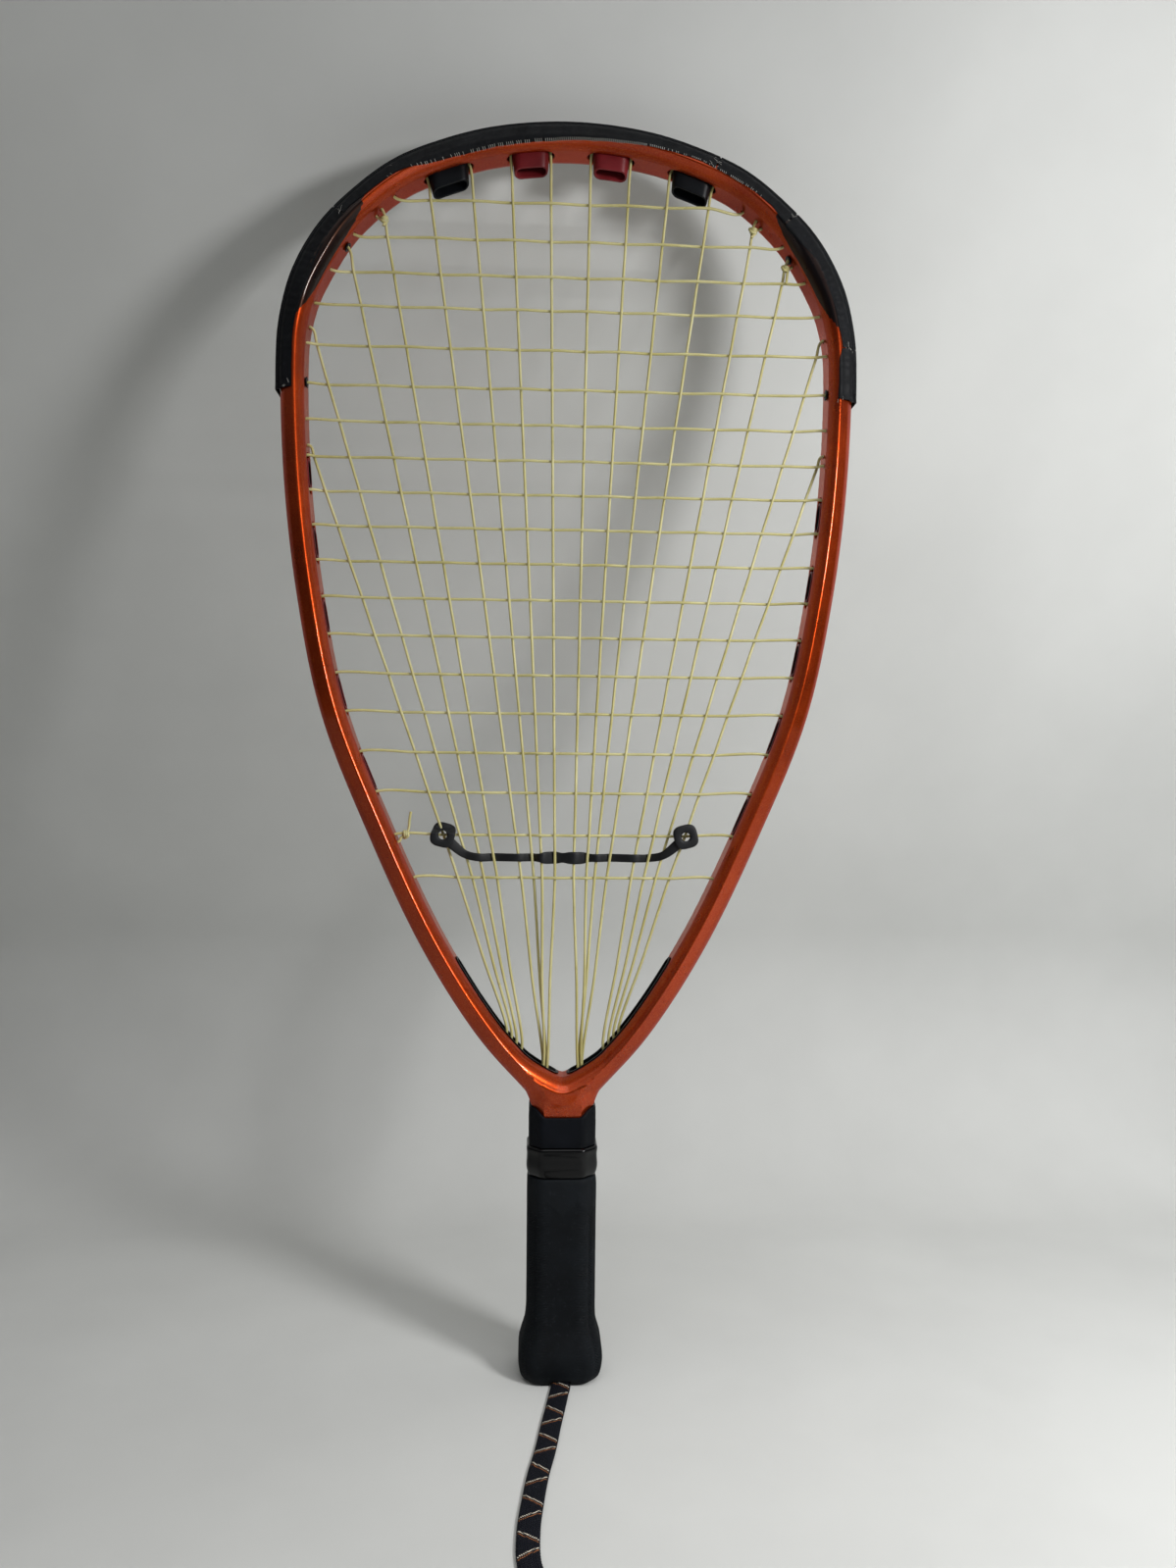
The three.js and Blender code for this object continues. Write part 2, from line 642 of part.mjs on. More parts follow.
// Top ports: [name, side, first main, second main, material]
const TOP_PORT_INDEX = [
  ["top_port_insert_left_outer", -1, 2, 3, BLACK_PLASTIC],
  ["top_port_insert_left_inner", -1, 0, 1, RED_PLASTIC],
  ["top_port_insert_right_inner", 1, 0, 1, RED_PLASTIC],
  ["top_port_insert_right_outer", 1, 2, 3, BLACK_PLASTIC],
];
// How far the strings lean along the hoop for each millimetre inward of the wall
function leanOf(side, number) {
  const along = MAIN_ALONG[number];
  const root = place(along, SECTION_WIDTH, 0);
  const inwards = place(along, SECTION_WIDTH + MOUTH_LIFT, 0).sub(root);
  const onwards = new THREE.Vector3(-inwards.z, 0, inwards.x);
  const [top, kink] = mainPoints(number, 1);
  const way = kink.clone().sub(top);
  return side * (way.dot(onwards) / way.dot(inwards));
}

function portList() {
  const ports = TOP_PORT_INDEX.map(([name, side, first, second, material]) => ({
    name,
    material,
    from: side * MAIN_ALONG[first],
    to: side * MAIN_ALONG[second],
    lean: (leanOf(side, first) + leanOf(side, second)) / 2,
    reach: TOP_INSERT_REACH,
  }));
  for (const [label, side, start] of [["left", -1, LEFT_PORT_INDEX], ["right", 1, RIGHT_PORT_INDEX]]) {
    for (let i = 0; i < SIDE_PORT_COUNT; i += 1) {
      const row = start + 2 * i;
      ports.push({
        name: `side_port_insert_${label}_${i + 1}`,
        material: RED_PLASTIC,
        from: side * CROSS_ALONG[row],
        to: side * CROSS_ALONG[row + 1],
        lean: 0,
        reach: SIDE_INSERT_REACH,
      });
    }
  }
  return ports;
}

const PORTS = portList();
const portMiddle = ({ from, to }) => (from + to) / 2;
const portSpan = ({ from, to }) => Math.abs(to - from) / 2;

function portCutter(port) {
  const levels = [[0, -OVERRUN], [0, SECTION_WIDTH + OVERRUN]];
  const halfLong = portSpan(port) + STRING_RADIUS + PORT_END_ROOM;
  const rings = oblongRings(portMiddle(port), halfLong, PORT_HALF_HEIGHT, levels);
  return skin(rings, outlineOf(oblong(halfLong, PORT_HALF_HEIGHT)));
}

function portInsert(port) {
  const halfLong = portSpan(port) - STRING_RADIUS - INSERT_STRING_GAP;
  const halfHigh = PORT_HALF_HEIGHT - SEAT_GAP;
  const mouth = SECTION_WIDTH + port.reach;
  const taper = (INSERT_TAPER * port.reach) / TOP_INSERT_REACH;
  const levels = [
    [0, INSERT_ROOT],
    [0, SECTION_WIDTH],
    [-taper, mouth],
    [-taper - INSERT_WALL, mouth],
    [-INSERT_WALL, SECTION_WIDTH],
    [-INSERT_WALL, INSERT_ROOT],
  ];
  return skin(oblongRings(portMiddle(port), halfLong, halfHigh, levels, { lean: port.lean }));
}

// Throat troughs with the bars that the mains turn round
const TROUGH_HALF_HIGH = SLOT_HALF_HEIGHT - SEAT_GAP;
const TROUGH_HALF_LONG = SLOT_HALF - SEAT_GAP;

function slotCutter(side) {
  const levels = [[0, SECTION_WIDTH - HOOP_WALL - OVERRUN], [0, SECTION_WIDTH + 2 * OVERRUN]];
  const options = { straightSteps: TROUGH_STEPS };
  const rings = oblongRings(side * SLOT_MIDDLE, SLOT_HALF, SLOT_HALF_HEIGHT, levels, options);
  return skin(rings, outlineOf(oblong(SLOT_HALF, SLOT_HALF_HEIGHT, TROUGH_STEPS)));
}

function throatTrough(side) {
  const bottom = SECTION_WIDTH - TROUGH_DEPTH;
  const rim = SECTION_WIDTH + TROUGH_RIM;
  const levels = [[0, bottom], [0, rim], [-TROUGH_WALL, rim], [-TROUGH_WALL, bottom + TROUGH_WALL]];
  const options = { straightSteps: TROUGH_STEPS };
  const rings = oblongRings(side * SLOT_MIDDLE, TROUGH_HALF_LONG, TROUGH_HALF_HIGH, levels, options);
  const trough = skin(rings, outlineOf(oblong(TROUGH_HALF_LONG, TROUGH_HALF_HIGH, TROUGH_STEPS)));
  const half = TROUGH_HALF_HIGH - TROUGH_WALL / 2;
  const bars = BAR_ALONG.map((along) => {
    const ends = [-half, half].map((deep) =>
      circle(BAR_RADIUS, BAR_SIDES).map(([a, b]) => place(side * along + a, BAR_INWARD + b, deep)));
    return solid(skin(ends, outlineOf(circle(BAR_RADIUS, BAR_SIDES))));
  });
  return shell(joined([solid(trough), ...bars]));
}

// String holes through the hoop: [along, lane]
function stringHoles() {
  const holes = [];
  const inPort = (along) =>
    PORTS.some((port) => Math.abs(along - portMiddle(port)) <= portSpan(port) + SAME_PLACE);
  for (const side of [-1, 1]) {
    MAIN_ALONG.forEach((along) => holes.push([side * along, 0]));
    CROSS_ALONG.forEach((along) => holes.push([side * along, -LANE_OFFSET]));
  }
  const free = holes.filter(([along]) => !inPort(along));
  const start = free.find(([along, lane]) =>
    lane !== 0 && Math.abs(along - CROSS_ALONG[0]) < SAME_PLACE);
  start[1] = LANE_OFFSET;
  const last = CROSS_ALONG.length - 1;
  const ties = [tieAlong(RIGHT_TIE_INDEX), tieAlong(CROSS_TIE_INDEX), -tieAlong(LEFT_TIE_INDEX)];
  free.push(...ties.map((along) => [along, LANE_OFFSET]));
  free.push([-CROSS_ALONG[last - 1] - TIE_HOLE_SHIFT, -LANE_OFFSET]);
  return free;
}

// Grommets: [name, along, lane]
const GROMMETS = [
  ["grommet_left_upper", -MAIN_ALONG[5], 0],
  ["grommet_left_lower", -CROSS_ALONG[5], -LANE_OFFSET],
  ["grommet_right_upper", MAIN_ALONG[5], 0],
  ["grommet_right_lower", CROSS_ALONG[5], -LANE_OFFSET],
];

function holeCutter([along, lane], radius = STRING_HOLE_RADIUS, from = -OVERRUN) {
  const sides = STRING_HOLE_SIDES;
  const rings = [from, SECTION_WIDTH + OVERRUN].map((inward) =>
    circle(radius, sides).map(([a, b]) => place(along + a, inward, lane + b)));
  return skin(rings, outlineOf(circle(radius, sides)));
}

function grommet(along, lane) {
  const root = SECTION_WIDTH - GROMMET_LENGTH;
  const face = SECTION_WIDTH + GROMMET_LIFT;
  const rings = [
    [GROMMET_BARREL, root],
    [GROMMET_BARREL, face],
    [GROMMET_FLANGE, face],
    [GROMMET_FLANGE, face + GROMMET_FLANGE_THICKNESS],
    [GROMMET_BORE, face + GROMMET_FLANGE_THICKNESS],
    [GROMMET_BORE, root],
  ].map(([radius, inward]) =>
    circle(radius, GROMMET_SIDES).map(([a, b]) => place(along + a, inward, lane + b)));
  return skin(rings);
}

// The frame: hoop, throat and shaft moulded in one, hollow all the way
const HOOP_PROFILE = mirrored([
  [GROOVE_DEPTH, -GROOVE_HALF_WIDTH],
  [0, -GROOVE_HALF_WIDTH - GROOVE_FLARE],
  [0, -OUTER_WALL_HALF],
  [RIDGE_INWARD - RIDGE_FLAT / 2, -SECTION_HALF_DEPTH],
  [RIDGE_INWARD + RIDGE_FLAT / 2, -SECTION_HALF_DEPTH],
  [SECTION_WIDTH - INNER_CHAMFER, -INNER_WALL_HALF - INNER_CHAMFER_DEEP],
  [SECTION_WIDTH, -INNER_WALL_HALF],
]);
const CAVITY_PROFILE = mirrored([
  [GROOVE_DEPTH + HOOP_WALL, -GROOVE_HALF_WIDTH - HOOP_WALL],
  [RIDGE_INWARD, -SECTION_HALF_DEPTH + RIDGE_WALL],
  [SECTION_WIDTH - INNER_CHAMFER - HOOP_WALL / 2, RIDGE_WALL - INNER_WALL_HALF - INNER_CHAMFER_DEEP],
  [SECTION_WIDTH - HOOP_WALL, -INNER_WALL_HALF + HOOP_WALL],
]);

function octagon(halfWidth, halfDepth, bevel) {
  return [
    [halfWidth, halfDepth - bevel],
    [halfWidth - bevel, halfDepth],
    [-halfWidth + bevel, halfDepth],
    [-halfWidth, halfDepth - bevel],
    [-halfWidth, -halfDepth + bevel],
    [-halfWidth + bevel, -halfDepth],
    [halfWidth - bevel, -halfDepth],
    [halfWidth, -halfDepth + bevel],
  ];
}

const atHeight = (ring, height) => ring.map(([x, y]) => new THREE.Vector3(x, y, height));

// An upright column through octagons: [half width, half depth, bevel, height]
function column(levels) {
  const rings = levels.map(([width, depth, bevel, height]) => atHeight(octagon(width, depth, bevel), height));
  const [width, depth, bevel] = levels[0];
  return skin(rings, outlineOf(octagon(width, depth, bevel)));
}

// An octagonal sleeve: the same levels looped, outside up and inside down
function sleeve(levels) {
  return skin(levels.map(([width, depth, bevel, height]) => atHeight(octagon(width, depth, bevel), height)));
}

function frame() {
  const reach = THROAT_ALONG;
  const hoop = solid(carried(HOOP_PROFILE, -reach, reach, HOOP_STEPS));
  const shaft = solid(column([
    [SHAFT_HALF_WIDTH, SHAFT_HALF_DEPTH, SHAFT_BEVEL, SHAFT_FOOT],
    [SHAFT_HALF_WIDTH, SHAFT_HALF_DEPTH, SHAFT_BEVEL, THROAT_HEIGHT - THROAT_BLEND],
    [THROAT_HALF_WIDTH - SEAT_GAP, SECTION_HALF_DEPTH, SHAFT_BEVEL, THROAT_HEIGHT],
    [THROAT_HALF_WIDTH - SEAT_GAP, SECTION_HALF_DEPTH, THROAT_RIDGE_BEVEL, THROAT_RIDGE_HEIGHT],
    [APEX_HALF_WIDTH, INNER_WALL_HALF, APEX_BEVEL, APEX_HEIGHT],
  ]));
  const boreWidth = SHAFT_HALF_WIDTH - SHAFT_WALL;
  const boreDepth = SHAFT_HALF_DEPTH - SHAFT_WALL;
  const boreBevel = SHAFT_BEVEL - SHAFT_WALL / 2;
  const bore = solid(column([
    [boreWidth, boreDepth, boreBevel, SHAFT_FOOT - OVERRUN],
    [boreWidth, boreDepth, boreBevel, THROAT_HEIGHT - THROAT_BLEND + BORE_TAPER],
    [boreWidth - BORE_TAPER, boreDepth - BORE_TAPER, boreBevel, APEX_HEIGHT - APEX_WEB],
  ]));
  const cavities = [-1, 1].map((side) =>
    solid(carried(CAVITY_PROFILE, side * 0, side * HALF_HOOP, CAVITY_STEPS / 2)));
  const seam = solid(carried(CAVITY_PROFILE, -OVERRUN, OVERRUN, 1));
  const holes = stringHoles().map((hole) => solid(holeCutter(hole)));
  const ports = PORTS.map((port) => solid(portCutter(port)));
  const slots = [-1, 1].map((side) => solid(slotCutter(side)));
  const seats = GROMMETS.map(([, along, lane]) =>
    solid(holeCutter([along, lane], GROMMET_BARREL + 2 * SEAT_GAP, SECTION_WIDTH - HOOP_WALL - OVERRUN)));
  const whole = joined([hoop, shaft]);
  return shell(cut(whole, [bore, ...cavities, seam, ...holes, ...ports, ...slots, ...seats]));
}

// Knots, grown round the string that they hold
function stringKnot({ way, base }) {
  const side = new THREE.Vector3(0, 1, 0).cross(way).normalize();
  const up = new THREE.Vector3().crossVectors(way, side);
  const bore = STRING_RADIUS + SEAT_GAP;
  const rings = [
    [bore, 0],
    ...KNOT_SHARES.map(([wide, reach]) => [KNOT_RADIUS * wide, KNOT_LENGTH * reach]),
    [bore, KNOT_LENGTH],
  ].map(([radius, reach]) => circle(radius, KNOT_SIDES).map(([a, b]) =>
    base.clone().addScaledVector(way, reach).addScaledVector(side, a).addScaledVector(up, b)));
  return skin(rings);
}

// Head guard and tape: a channel over the outer wall, "clear" of it, with legs down its slopes
function cover(clear, thickness, leg, from, to, steps) {
  const run = new THREE.Vector2(RIDGE_INWARD - RIDGE_FLAT / 2, SECTION_HALF_DEPTH - OUTER_WALL_HALF);
  run.normalize();
  const corner = (off) => {
    const reach = (off * run.y - off) / run.x;
    return [-off, -(OUTER_WALL_HALF + off * run.x + reach * run.y)];
  };
  const toe = (off) => [leg * run.x - off * run.y, -(OUTER_WALL_HALF + off * run.x + leg * run.y)];
  const outer = clear + thickness;
  return carried(mirrored([corner(clear), toe(clear), toe(outer), corner(outer)]), from, to, steps);
}

function headGuard() {
  const reach = alongAtHeight(GUARD_END_HEIGHT, 0);
  return cover(SEAT_GAP, GUARD_THICKNESS, GUARD_LEG, -reach, reach, COVER_STEPS);
}

const TAPE_NAMES = [
  "head_tape_left",
  "head_tape_top",
  "head_tape_right_upper",
  "head_tape_right_lower",
  "head_tape_right_end",
];

function headTapes() {
  const reach = alongAtHeight(TAPE_END_HEIGHT, 0);
  const seams = [-1, ...TAPE_SEAM_SHARES, 1].map((share) => share * reach);
  const clear = 2 * SEAT_GAP + GUARD_THICKNESS;
  TAPE_NAMES.forEach((name, i) => {
    const from = seams[i] + TAPE_JOINT / 2;
    const to = seams[i + 1] - TAPE_JOINT / 2;
    const steps = Math.max(2, Math.round((COVER_STEPS * (to - from)) / (2 * reach)));
    add(name, cover(clear, TAPE_THICKNESS, TAPE_LEG, from, to, steps), BLACK_TAPE);
  });
}

// Vibration dampener: a rubber band woven through the mains, with an eye at each end
function bandPath() {
  const low = CROSS_HEIGHTS[BAND_ROW_INDEX] - BAND_DROP;
  const eye = mainAt(MAIN_ALONG.length - 1, 1, CROSS_HEIGHTS[BAND_ROW_INDEX]).x;
  const points = [];
  for (const [label, side] of [["left", -1], ["right", 1]]) {
    for (let number = 0; number < MAIN_ALONG.length - 1; number += 1) {
      const at = mainAt(number, side, low);
      const rise = THREE.MathUtils.smoothstep(Math.abs(at.x), eye * BAND_RISE_SHARE, eye);
      const way = BAND_BEHIND_INDEX[label].includes(number) ? 1 : -1;
      points.push({ x: at.x, y: at.y, z: low + BAND_DROP * rise, way });
    }
  }
  points.sort((a, b) => a.x - b.x);
  const gap = (i, j) => (points[j] ? Math.abs(points[j].x - points[i].x) : NEAR_WALL);
  const reach = STRING_RADIUS + BAND_THICKNESS / 2 + BAND_GAP;
  return points.map(({ x, y, z, way }, i) => {
    const room = Math.min(gap(i, i - 1), gap(i, i + 1));
    return new THREE.Vector3(x, y + way * weaveHeight(reach, room), z);
  });
}

function eyeCentre(side) {
  const at = mainAt(MAIN_ALONG.length - 1, side, CROSS_HEIGHTS[BAND_ROW_INDEX]);
  const crossed = weaveHeight(2 * STRING_RADIUS + STRING_GAP, NEAR_WALL) + STRING_RADIUS;
  return new THREE.Vector3(at.x, -crossed - SEAT_GAP - LOOP_THICKNESS / 2, at.z);
}

function bandEye(side) {
  const centre = eyeCentre(side);
  const half = LOOP_THICKNESS / 2;
  const crown = (LOOP_OUTER_RADIUS - LOOP_INNER_RADIUS) / 4;
  const rings = [
    [LOOP_INNER_RADIUS, -half + crown],
    [LOOP_INNER_RADIUS + crown, -half],
    [LOOP_OUTER_RADIUS - crown, -half],
    [LOOP_OUTER_RADIUS, -half + crown],
    [LOOP_OUTER_RADIUS, half - crown],
    [LOOP_OUTER_RADIUS - crown, half],
    [LOOP_INNER_RADIUS + crown, half],
    [LOOP_INNER_RADIUS, half - crown],
  ].map(([radius, deep]) => circle(radius, LOOP_SIDES).map(([a, b]) =>
    new THREE.Vector3(centre.x + a, centre.y + deep, centre.z + b)));
  return solid(skin(rings));
}

function dampener() {
  const woven = bandPath();
  const entry = (side) => {
    const centre = eyeCentre(side);
    const rim = (LOOP_OUTER_RADIUS + LOOP_INNER_RADIUS) / 2;
    const slant = rim * Math.SQRT1_2;
    return new THREE.Vector3(centre.x - side * slant, centre.y, centre.z - slant);
  };
  const points = [entry(-1), ...woven, entry(1)];
  const sections = points.map(({ x }) => {
    const middle = Math.abs(x) < BAND_MIDDLE_SHARE * woven[woven.length - 1].x;
    const height = (middle ? BAND_MIDDLE_HEIGHT : BAND_HEIGHT) / 2;
    const thick = BAND_THICKNESS / 2;
    const flat = height * BAND_EDGE_SHARE;
    return [[height, 0], [flat, thick], [-flat, thick], [-height, 0], [-flat, -thick], [flat, -thick]];
  });
  return shell(joined([solid(swept(points, sections)), bandEye(-1), bandEye(1)]));
}

// Handle: tape, collar and ribbed rubber sleeve round the shaft
const SEAT_WIDTH = SHAFT_HALF_WIDTH + SEAT_GAP;
const SEAT_DEPTH = SHAFT_HALF_DEPTH + SEAT_GAP;
const CAP_BOTTOM = SHAFT_FOOT - SEAT_GAP - CAP_THICKNESS;

function gripSleeve() {
  const lip = CAP_BOTTOM - SEAT_GAP;
  const lipWidth = RIM_HALF_WIDTH - RIM_LAND;
  const lipDepth = RIM_HALF_DEPTH - RIM_LAND;
  const shoulder = (GRIP_HALF_WIDTH + FLARE_HALF_WIDTH) / 2;
  const shoulderDeep = (GRIP_HALF_DEPTH + FLARE_HALF_DEPTH) / 2;
  const tip = GRIP_HALF_WIDTH - SEAT_WIDTH;
  const body = solid(sleeve([
    [RIM_HALF_WIDTH, RIM_HALF_DEPTH, GRIP_BEVEL, 0],
    [FLARE_HALF_WIDTH - RIM_CORNER / 2, FLARE_HALF_DEPTH - RIM_CORNER / 2, GRIP_BEVEL, RIM_CORNER],
    [FLARE_HALF_WIDTH, FLARE_HALF_DEPTH, GRIP_BEVEL, FLARE_HEIGHT],
    [shoulder, shoulderDeep, GRIP_BEVEL, (FLARE_HEIGHT + FLARE_START) / 2],
    [GRIP_HALF_WIDTH, GRIP_HALF_DEPTH, GRIP_BEVEL, FLARE_START],
    [GRIP_HALF_WIDTH, GRIP_HALF_DEPTH, GRIP_BEVEL, GRIP_TOP - tip / 2],
    [GRIP_HALF_WIDTH - tip / 2, GRIP_HALF_DEPTH - tip / 2, GRIP_BEVEL - tip / 4, GRIP_TOP],
    [SEAT_WIDTH, SEAT_DEPTH, SHAFT_BEVEL, GRIP_TOP],
    [SEAT_WIDTH, SEAT_DEPTH, SHAFT_BEVEL, lip],
    [lipWidth, lipDepth, SHAFT_BEVEL - RIM_LAND / 2, lip],
    [lipWidth, lipDepth, SHAFT_BEVEL - RIM_LAND / 2, 0],
  ]));
  const high = LACE_FLOOR + LACE_THICKNESS / 2 + SEAT_GAP;
  const notch = new THREE.BoxGeometry(LACE_WIDTH + 2 * LACE_SIDE_GAP, FLARE_HALF_DEPTH, high + OVERRUN);
  notch.translate(0, -FLARE_HALF_DEPTH / 2 - lipDepth + OVERRUN, (high - OVERRUN) / 2);
  return shell(cut(body, [solid(notch)]));
}

function rubberCollar() {
  const low = GRIP_TOP + SEAT_GAP;
  const top = GRIP_TOP + COLLAR_HEIGHT;
  const wide = GRIP_HALF_WIDTH + COLLAR_BULGE;
  const deep = GRIP_HALF_DEPTH + COLLAR_BULGE;
  return sleeve([
    [wide - COLLAR_CHAMFER / 2, deep - COLLAR_CHAMFER / 2, GRIP_BEVEL, low],
    [wide, deep, GRIP_BEVEL, low + COLLAR_CHAMFER],
    [wide, deep, GRIP_BEVEL, top - COLLAR_CHAMFER],
    [wide - COLLAR_CHAMFER / 2, deep - COLLAR_CHAMFER / 2, GRIP_BEVEL, top],
    [SEAT_WIDTH, SEAT_DEPTH, SHAFT_BEVEL, top],
    [SEAT_WIDTH, SEAT_DEPTH, SHAFT_BEVEL, low],
  ]);
}

function handleTape() {
  const low = GRIP_TOP + COLLAR_HEIGHT + SEAT_GAP;
  const top = HANDLE_TOP;
  const wide = SEAT_WIDTH + HANDLE_TAPE_THICKNESS;
  const deep = SEAT_DEPTH + HANDLE_TAPE_THICKNESS;
  const bevel = SHAFT_BEVEL + HANDLE_TAPE_THICKNESS / 2;
  return sleeve([
    [wide, deep, bevel, low],
    [wide, deep, bevel, top],
    [SEAT_WIDTH, SEAT_DEPTH, SHAFT_BEVEL, top],
    [SEAT_WIDTH, SEAT_DEPTH, SHAFT_BEVEL, low],
  ]);
}

// Butt end: a cap plugs the shaft and lets the lanyard's lace through to its anchor knot
const SPIGOT_TOP = SHAFT_FOOT + CAP_SPIGOT;
const SPIGOT_WIDTH = SHAFT_HALF_WIDTH - SHAFT_WALL - SEAT_GAP;
const SPIGOT_DEPTH = SHAFT_HALF_DEPTH - SHAFT_WALL - SEAT_GAP;
const SPIGOT_BEVEL = SHAFT_BEVEL - SHAFT_WALL / 2;

function buttCap() {
  const body = solid(column([
    [SHAFT_HALF_WIDTH, SHAFT_HALF_DEPTH, SHAFT_BEVEL, CAP_BOTTOM],
    [SHAFT_HALF_WIDTH, SHAFT_HALF_DEPTH, SHAFT_BEVEL, SHAFT_FOOT - SEAT_GAP],
    [SPIGOT_WIDTH, SPIGOT_DEPTH, SPIGOT_BEVEL, SHAFT_FOOT - SEAT_GAP],
    [SPIGOT_WIDTH, SPIGOT_DEPTH, SPIGOT_BEVEL, SPIGOT_TOP],
  ]));
  const wide = LACE_WIDTH + 2 * LACE_SIDE_GAP;
  const deep = LACE_THICKNESS + 2 * LACE_SIDE_GAP;
  const slot = new THREE.BoxGeometry(wide, deep, RACKET_LENGTH);
  return shell(cut(body, [solid(slot)]));
}

function anchorKnot() {
  const low = SPIGOT_TOP + SEAT_GAP;
  const wide = SPIGOT_WIDTH - LACE_THICKNESS;
  return column(ANCHOR_SHARES.map(([grow, rise]) =>
    [wide * grow, ANCHOR_HALF_DEPTH * grow, (ANCHOR_HALF_DEPTH * grow) / 2, low + ANCHOR_LENGTH * rise]));
}

// Flat lace along a path, with a rounded flat section
function lace(path, step) {
  const across = LACE_WIDTH / 2;
  const through = LACE_THICKNESS / 2;
  const edge = across - through;
  const shape = new THREE.Shape([
    [0, across], [-through, edge], [-through, 0], [-through, -edge],
    [0, -across], [through, -edge], [through, 0], [through, edge],
  ].map(([a, b]) => new THREE.Vector2(a, b)));
  return new THREE.ExtrudeGeometry(shape, { steps: Math.ceil(path.getLength() / step), extrudePath: path });
}

function onGround(route) {
  const points = route.map(([x, y]) => new THREE.Vector3(x, y, LACE_FLOOR));
  return new THREE.CatmullRomCurve3(points, false, "centripetal");
}

function lanyardRoot() {
  const top = SPIGOT_TOP;
  const out = -LEAD_ROUTE[0][1] - SEAT_GAP;
  const turn = CAP_BOTTOM - LACE_FLOOR;
  const points = [
    [0, top], [0, SHAFT_FOOT], [0, CAP_BOTTOM],
    ...ROOT_TURN_SHARES.map(([forth, up]) => [turn * forth, LACE_FLOOR + turn * up]),
    [out, LACE_FLOOR],
  ].map(([y, z]) => new THREE.Vector3(0, -y, z));
  return lace(new THREE.CatmullRomCurve3(points, false, "centripetal"), LACE_BEND_STEP);
}

function wristKnot() {
  const [x, start] = LEAD_ROUTE[LEAD_ROUTE.length - 1];
  const ring = (grow) => octagon(
    WRIST_KNOT_HALF_WIDTH * grow,
    (WRIST_KNOT_HEIGHT * grow) / 2,
    WRIST_KNOT_BEVEL * grow,
  );
  const rings = WRIST_KNOT_SHARES.map(([grow, reach]) => ring(grow).map(([a, b]) => new THREE.Vector3(
    x + a,
    start - SEAT_GAP - WRIST_KNOT_LENGTH * reach,
    b + (WRIST_KNOT_HEIGHT * grow) / 2 + LACE_REST,
  )));
  return skin(rings, outlineOf(ring(1)));
}

add("frame", frame(), COPPER_PAINT);
PORTS.forEach((port) => add(port.name, portInsert(port), port.material));
add("throat_insert_left", throatTrough(-1), BLACK_PLASTIC);
add("throat_insert_right", throatTrough(1), BLACK_PLASTIC);
GROMMETS.forEach(([name, along, lane]) => add(name, grommet(along, lane), BLACK_PLASTIC));
add("main_string", mainString(), PALE_STRING);
add("cross_string", crossString(), PALE_STRING);
add("string_knot_left_upper", stringKnot(mainKnot(LEFT_TIE_INDEX, -1)), PALE_STRING);
add("string_knot_right_upper", stringKnot(mainKnot(CROSS_TIE_INDEX, 1)), PALE_STRING);
add("string_knot_right_lower", stringKnot(mainKnot(RIGHT_TIE_INDEX, 1)), PALE_STRING);
add("string_knot_left_lower", stringKnot(crossKnot(CROSS_HEIGHTS.length - 2)), PALE_STRING);
add("vibration_dampener", dampener(), BLACK_RUBBER);
add("head_guard", headGuard(), BLACK_PLASTIC);
headTapes();
add("handle_tape", handleTape(), BLACK_TAPE);
add("rubber_collar", rubberCollar(), GLOSS_RUBBER);
add("grip_sleeve", gripSleeve(), BLACK_RUBBER);
add("butt_cap", buttCap(), BLACK_PLASTIC);
add("lanyard_anchor_knot", anchorKnot(), BLACK_LACE);
add("lanyard_root", lanyardRoot(), BLACK_LACE);
add("lanyard_lead", lace(onGround(LEAD_ROUTE), LACE_STEP), BLACK_LACE);
add("lanyard_knot", wristKnot(), BLACK_LACE);
add("lanyard_loop", lace(onGround(LOOP_ROUTE), LACE_STEP), BLACK_LACE);

export default racket;
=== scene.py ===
"""A racquetball racket on its butt end, with its wrist lanyard on the floor before it."""
import math

import bmesh
import bpy
import numpy as np
from mathutils import Matrix, Vector


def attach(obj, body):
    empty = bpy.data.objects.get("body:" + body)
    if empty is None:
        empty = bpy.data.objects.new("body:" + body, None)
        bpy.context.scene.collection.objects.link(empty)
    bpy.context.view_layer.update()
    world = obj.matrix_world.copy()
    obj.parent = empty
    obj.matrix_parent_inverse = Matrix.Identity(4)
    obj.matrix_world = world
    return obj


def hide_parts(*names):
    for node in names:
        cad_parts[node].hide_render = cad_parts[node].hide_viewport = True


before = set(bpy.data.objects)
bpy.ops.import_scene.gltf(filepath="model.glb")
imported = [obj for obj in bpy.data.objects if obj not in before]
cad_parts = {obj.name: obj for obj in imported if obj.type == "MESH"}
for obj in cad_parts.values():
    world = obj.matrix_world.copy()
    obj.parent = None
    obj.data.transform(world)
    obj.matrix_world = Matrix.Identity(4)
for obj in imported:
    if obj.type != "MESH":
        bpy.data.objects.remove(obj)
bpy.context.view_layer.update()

MM = 0.001
SCENE = bpy.context.scene

# ---------------------------------------------------------------- camera

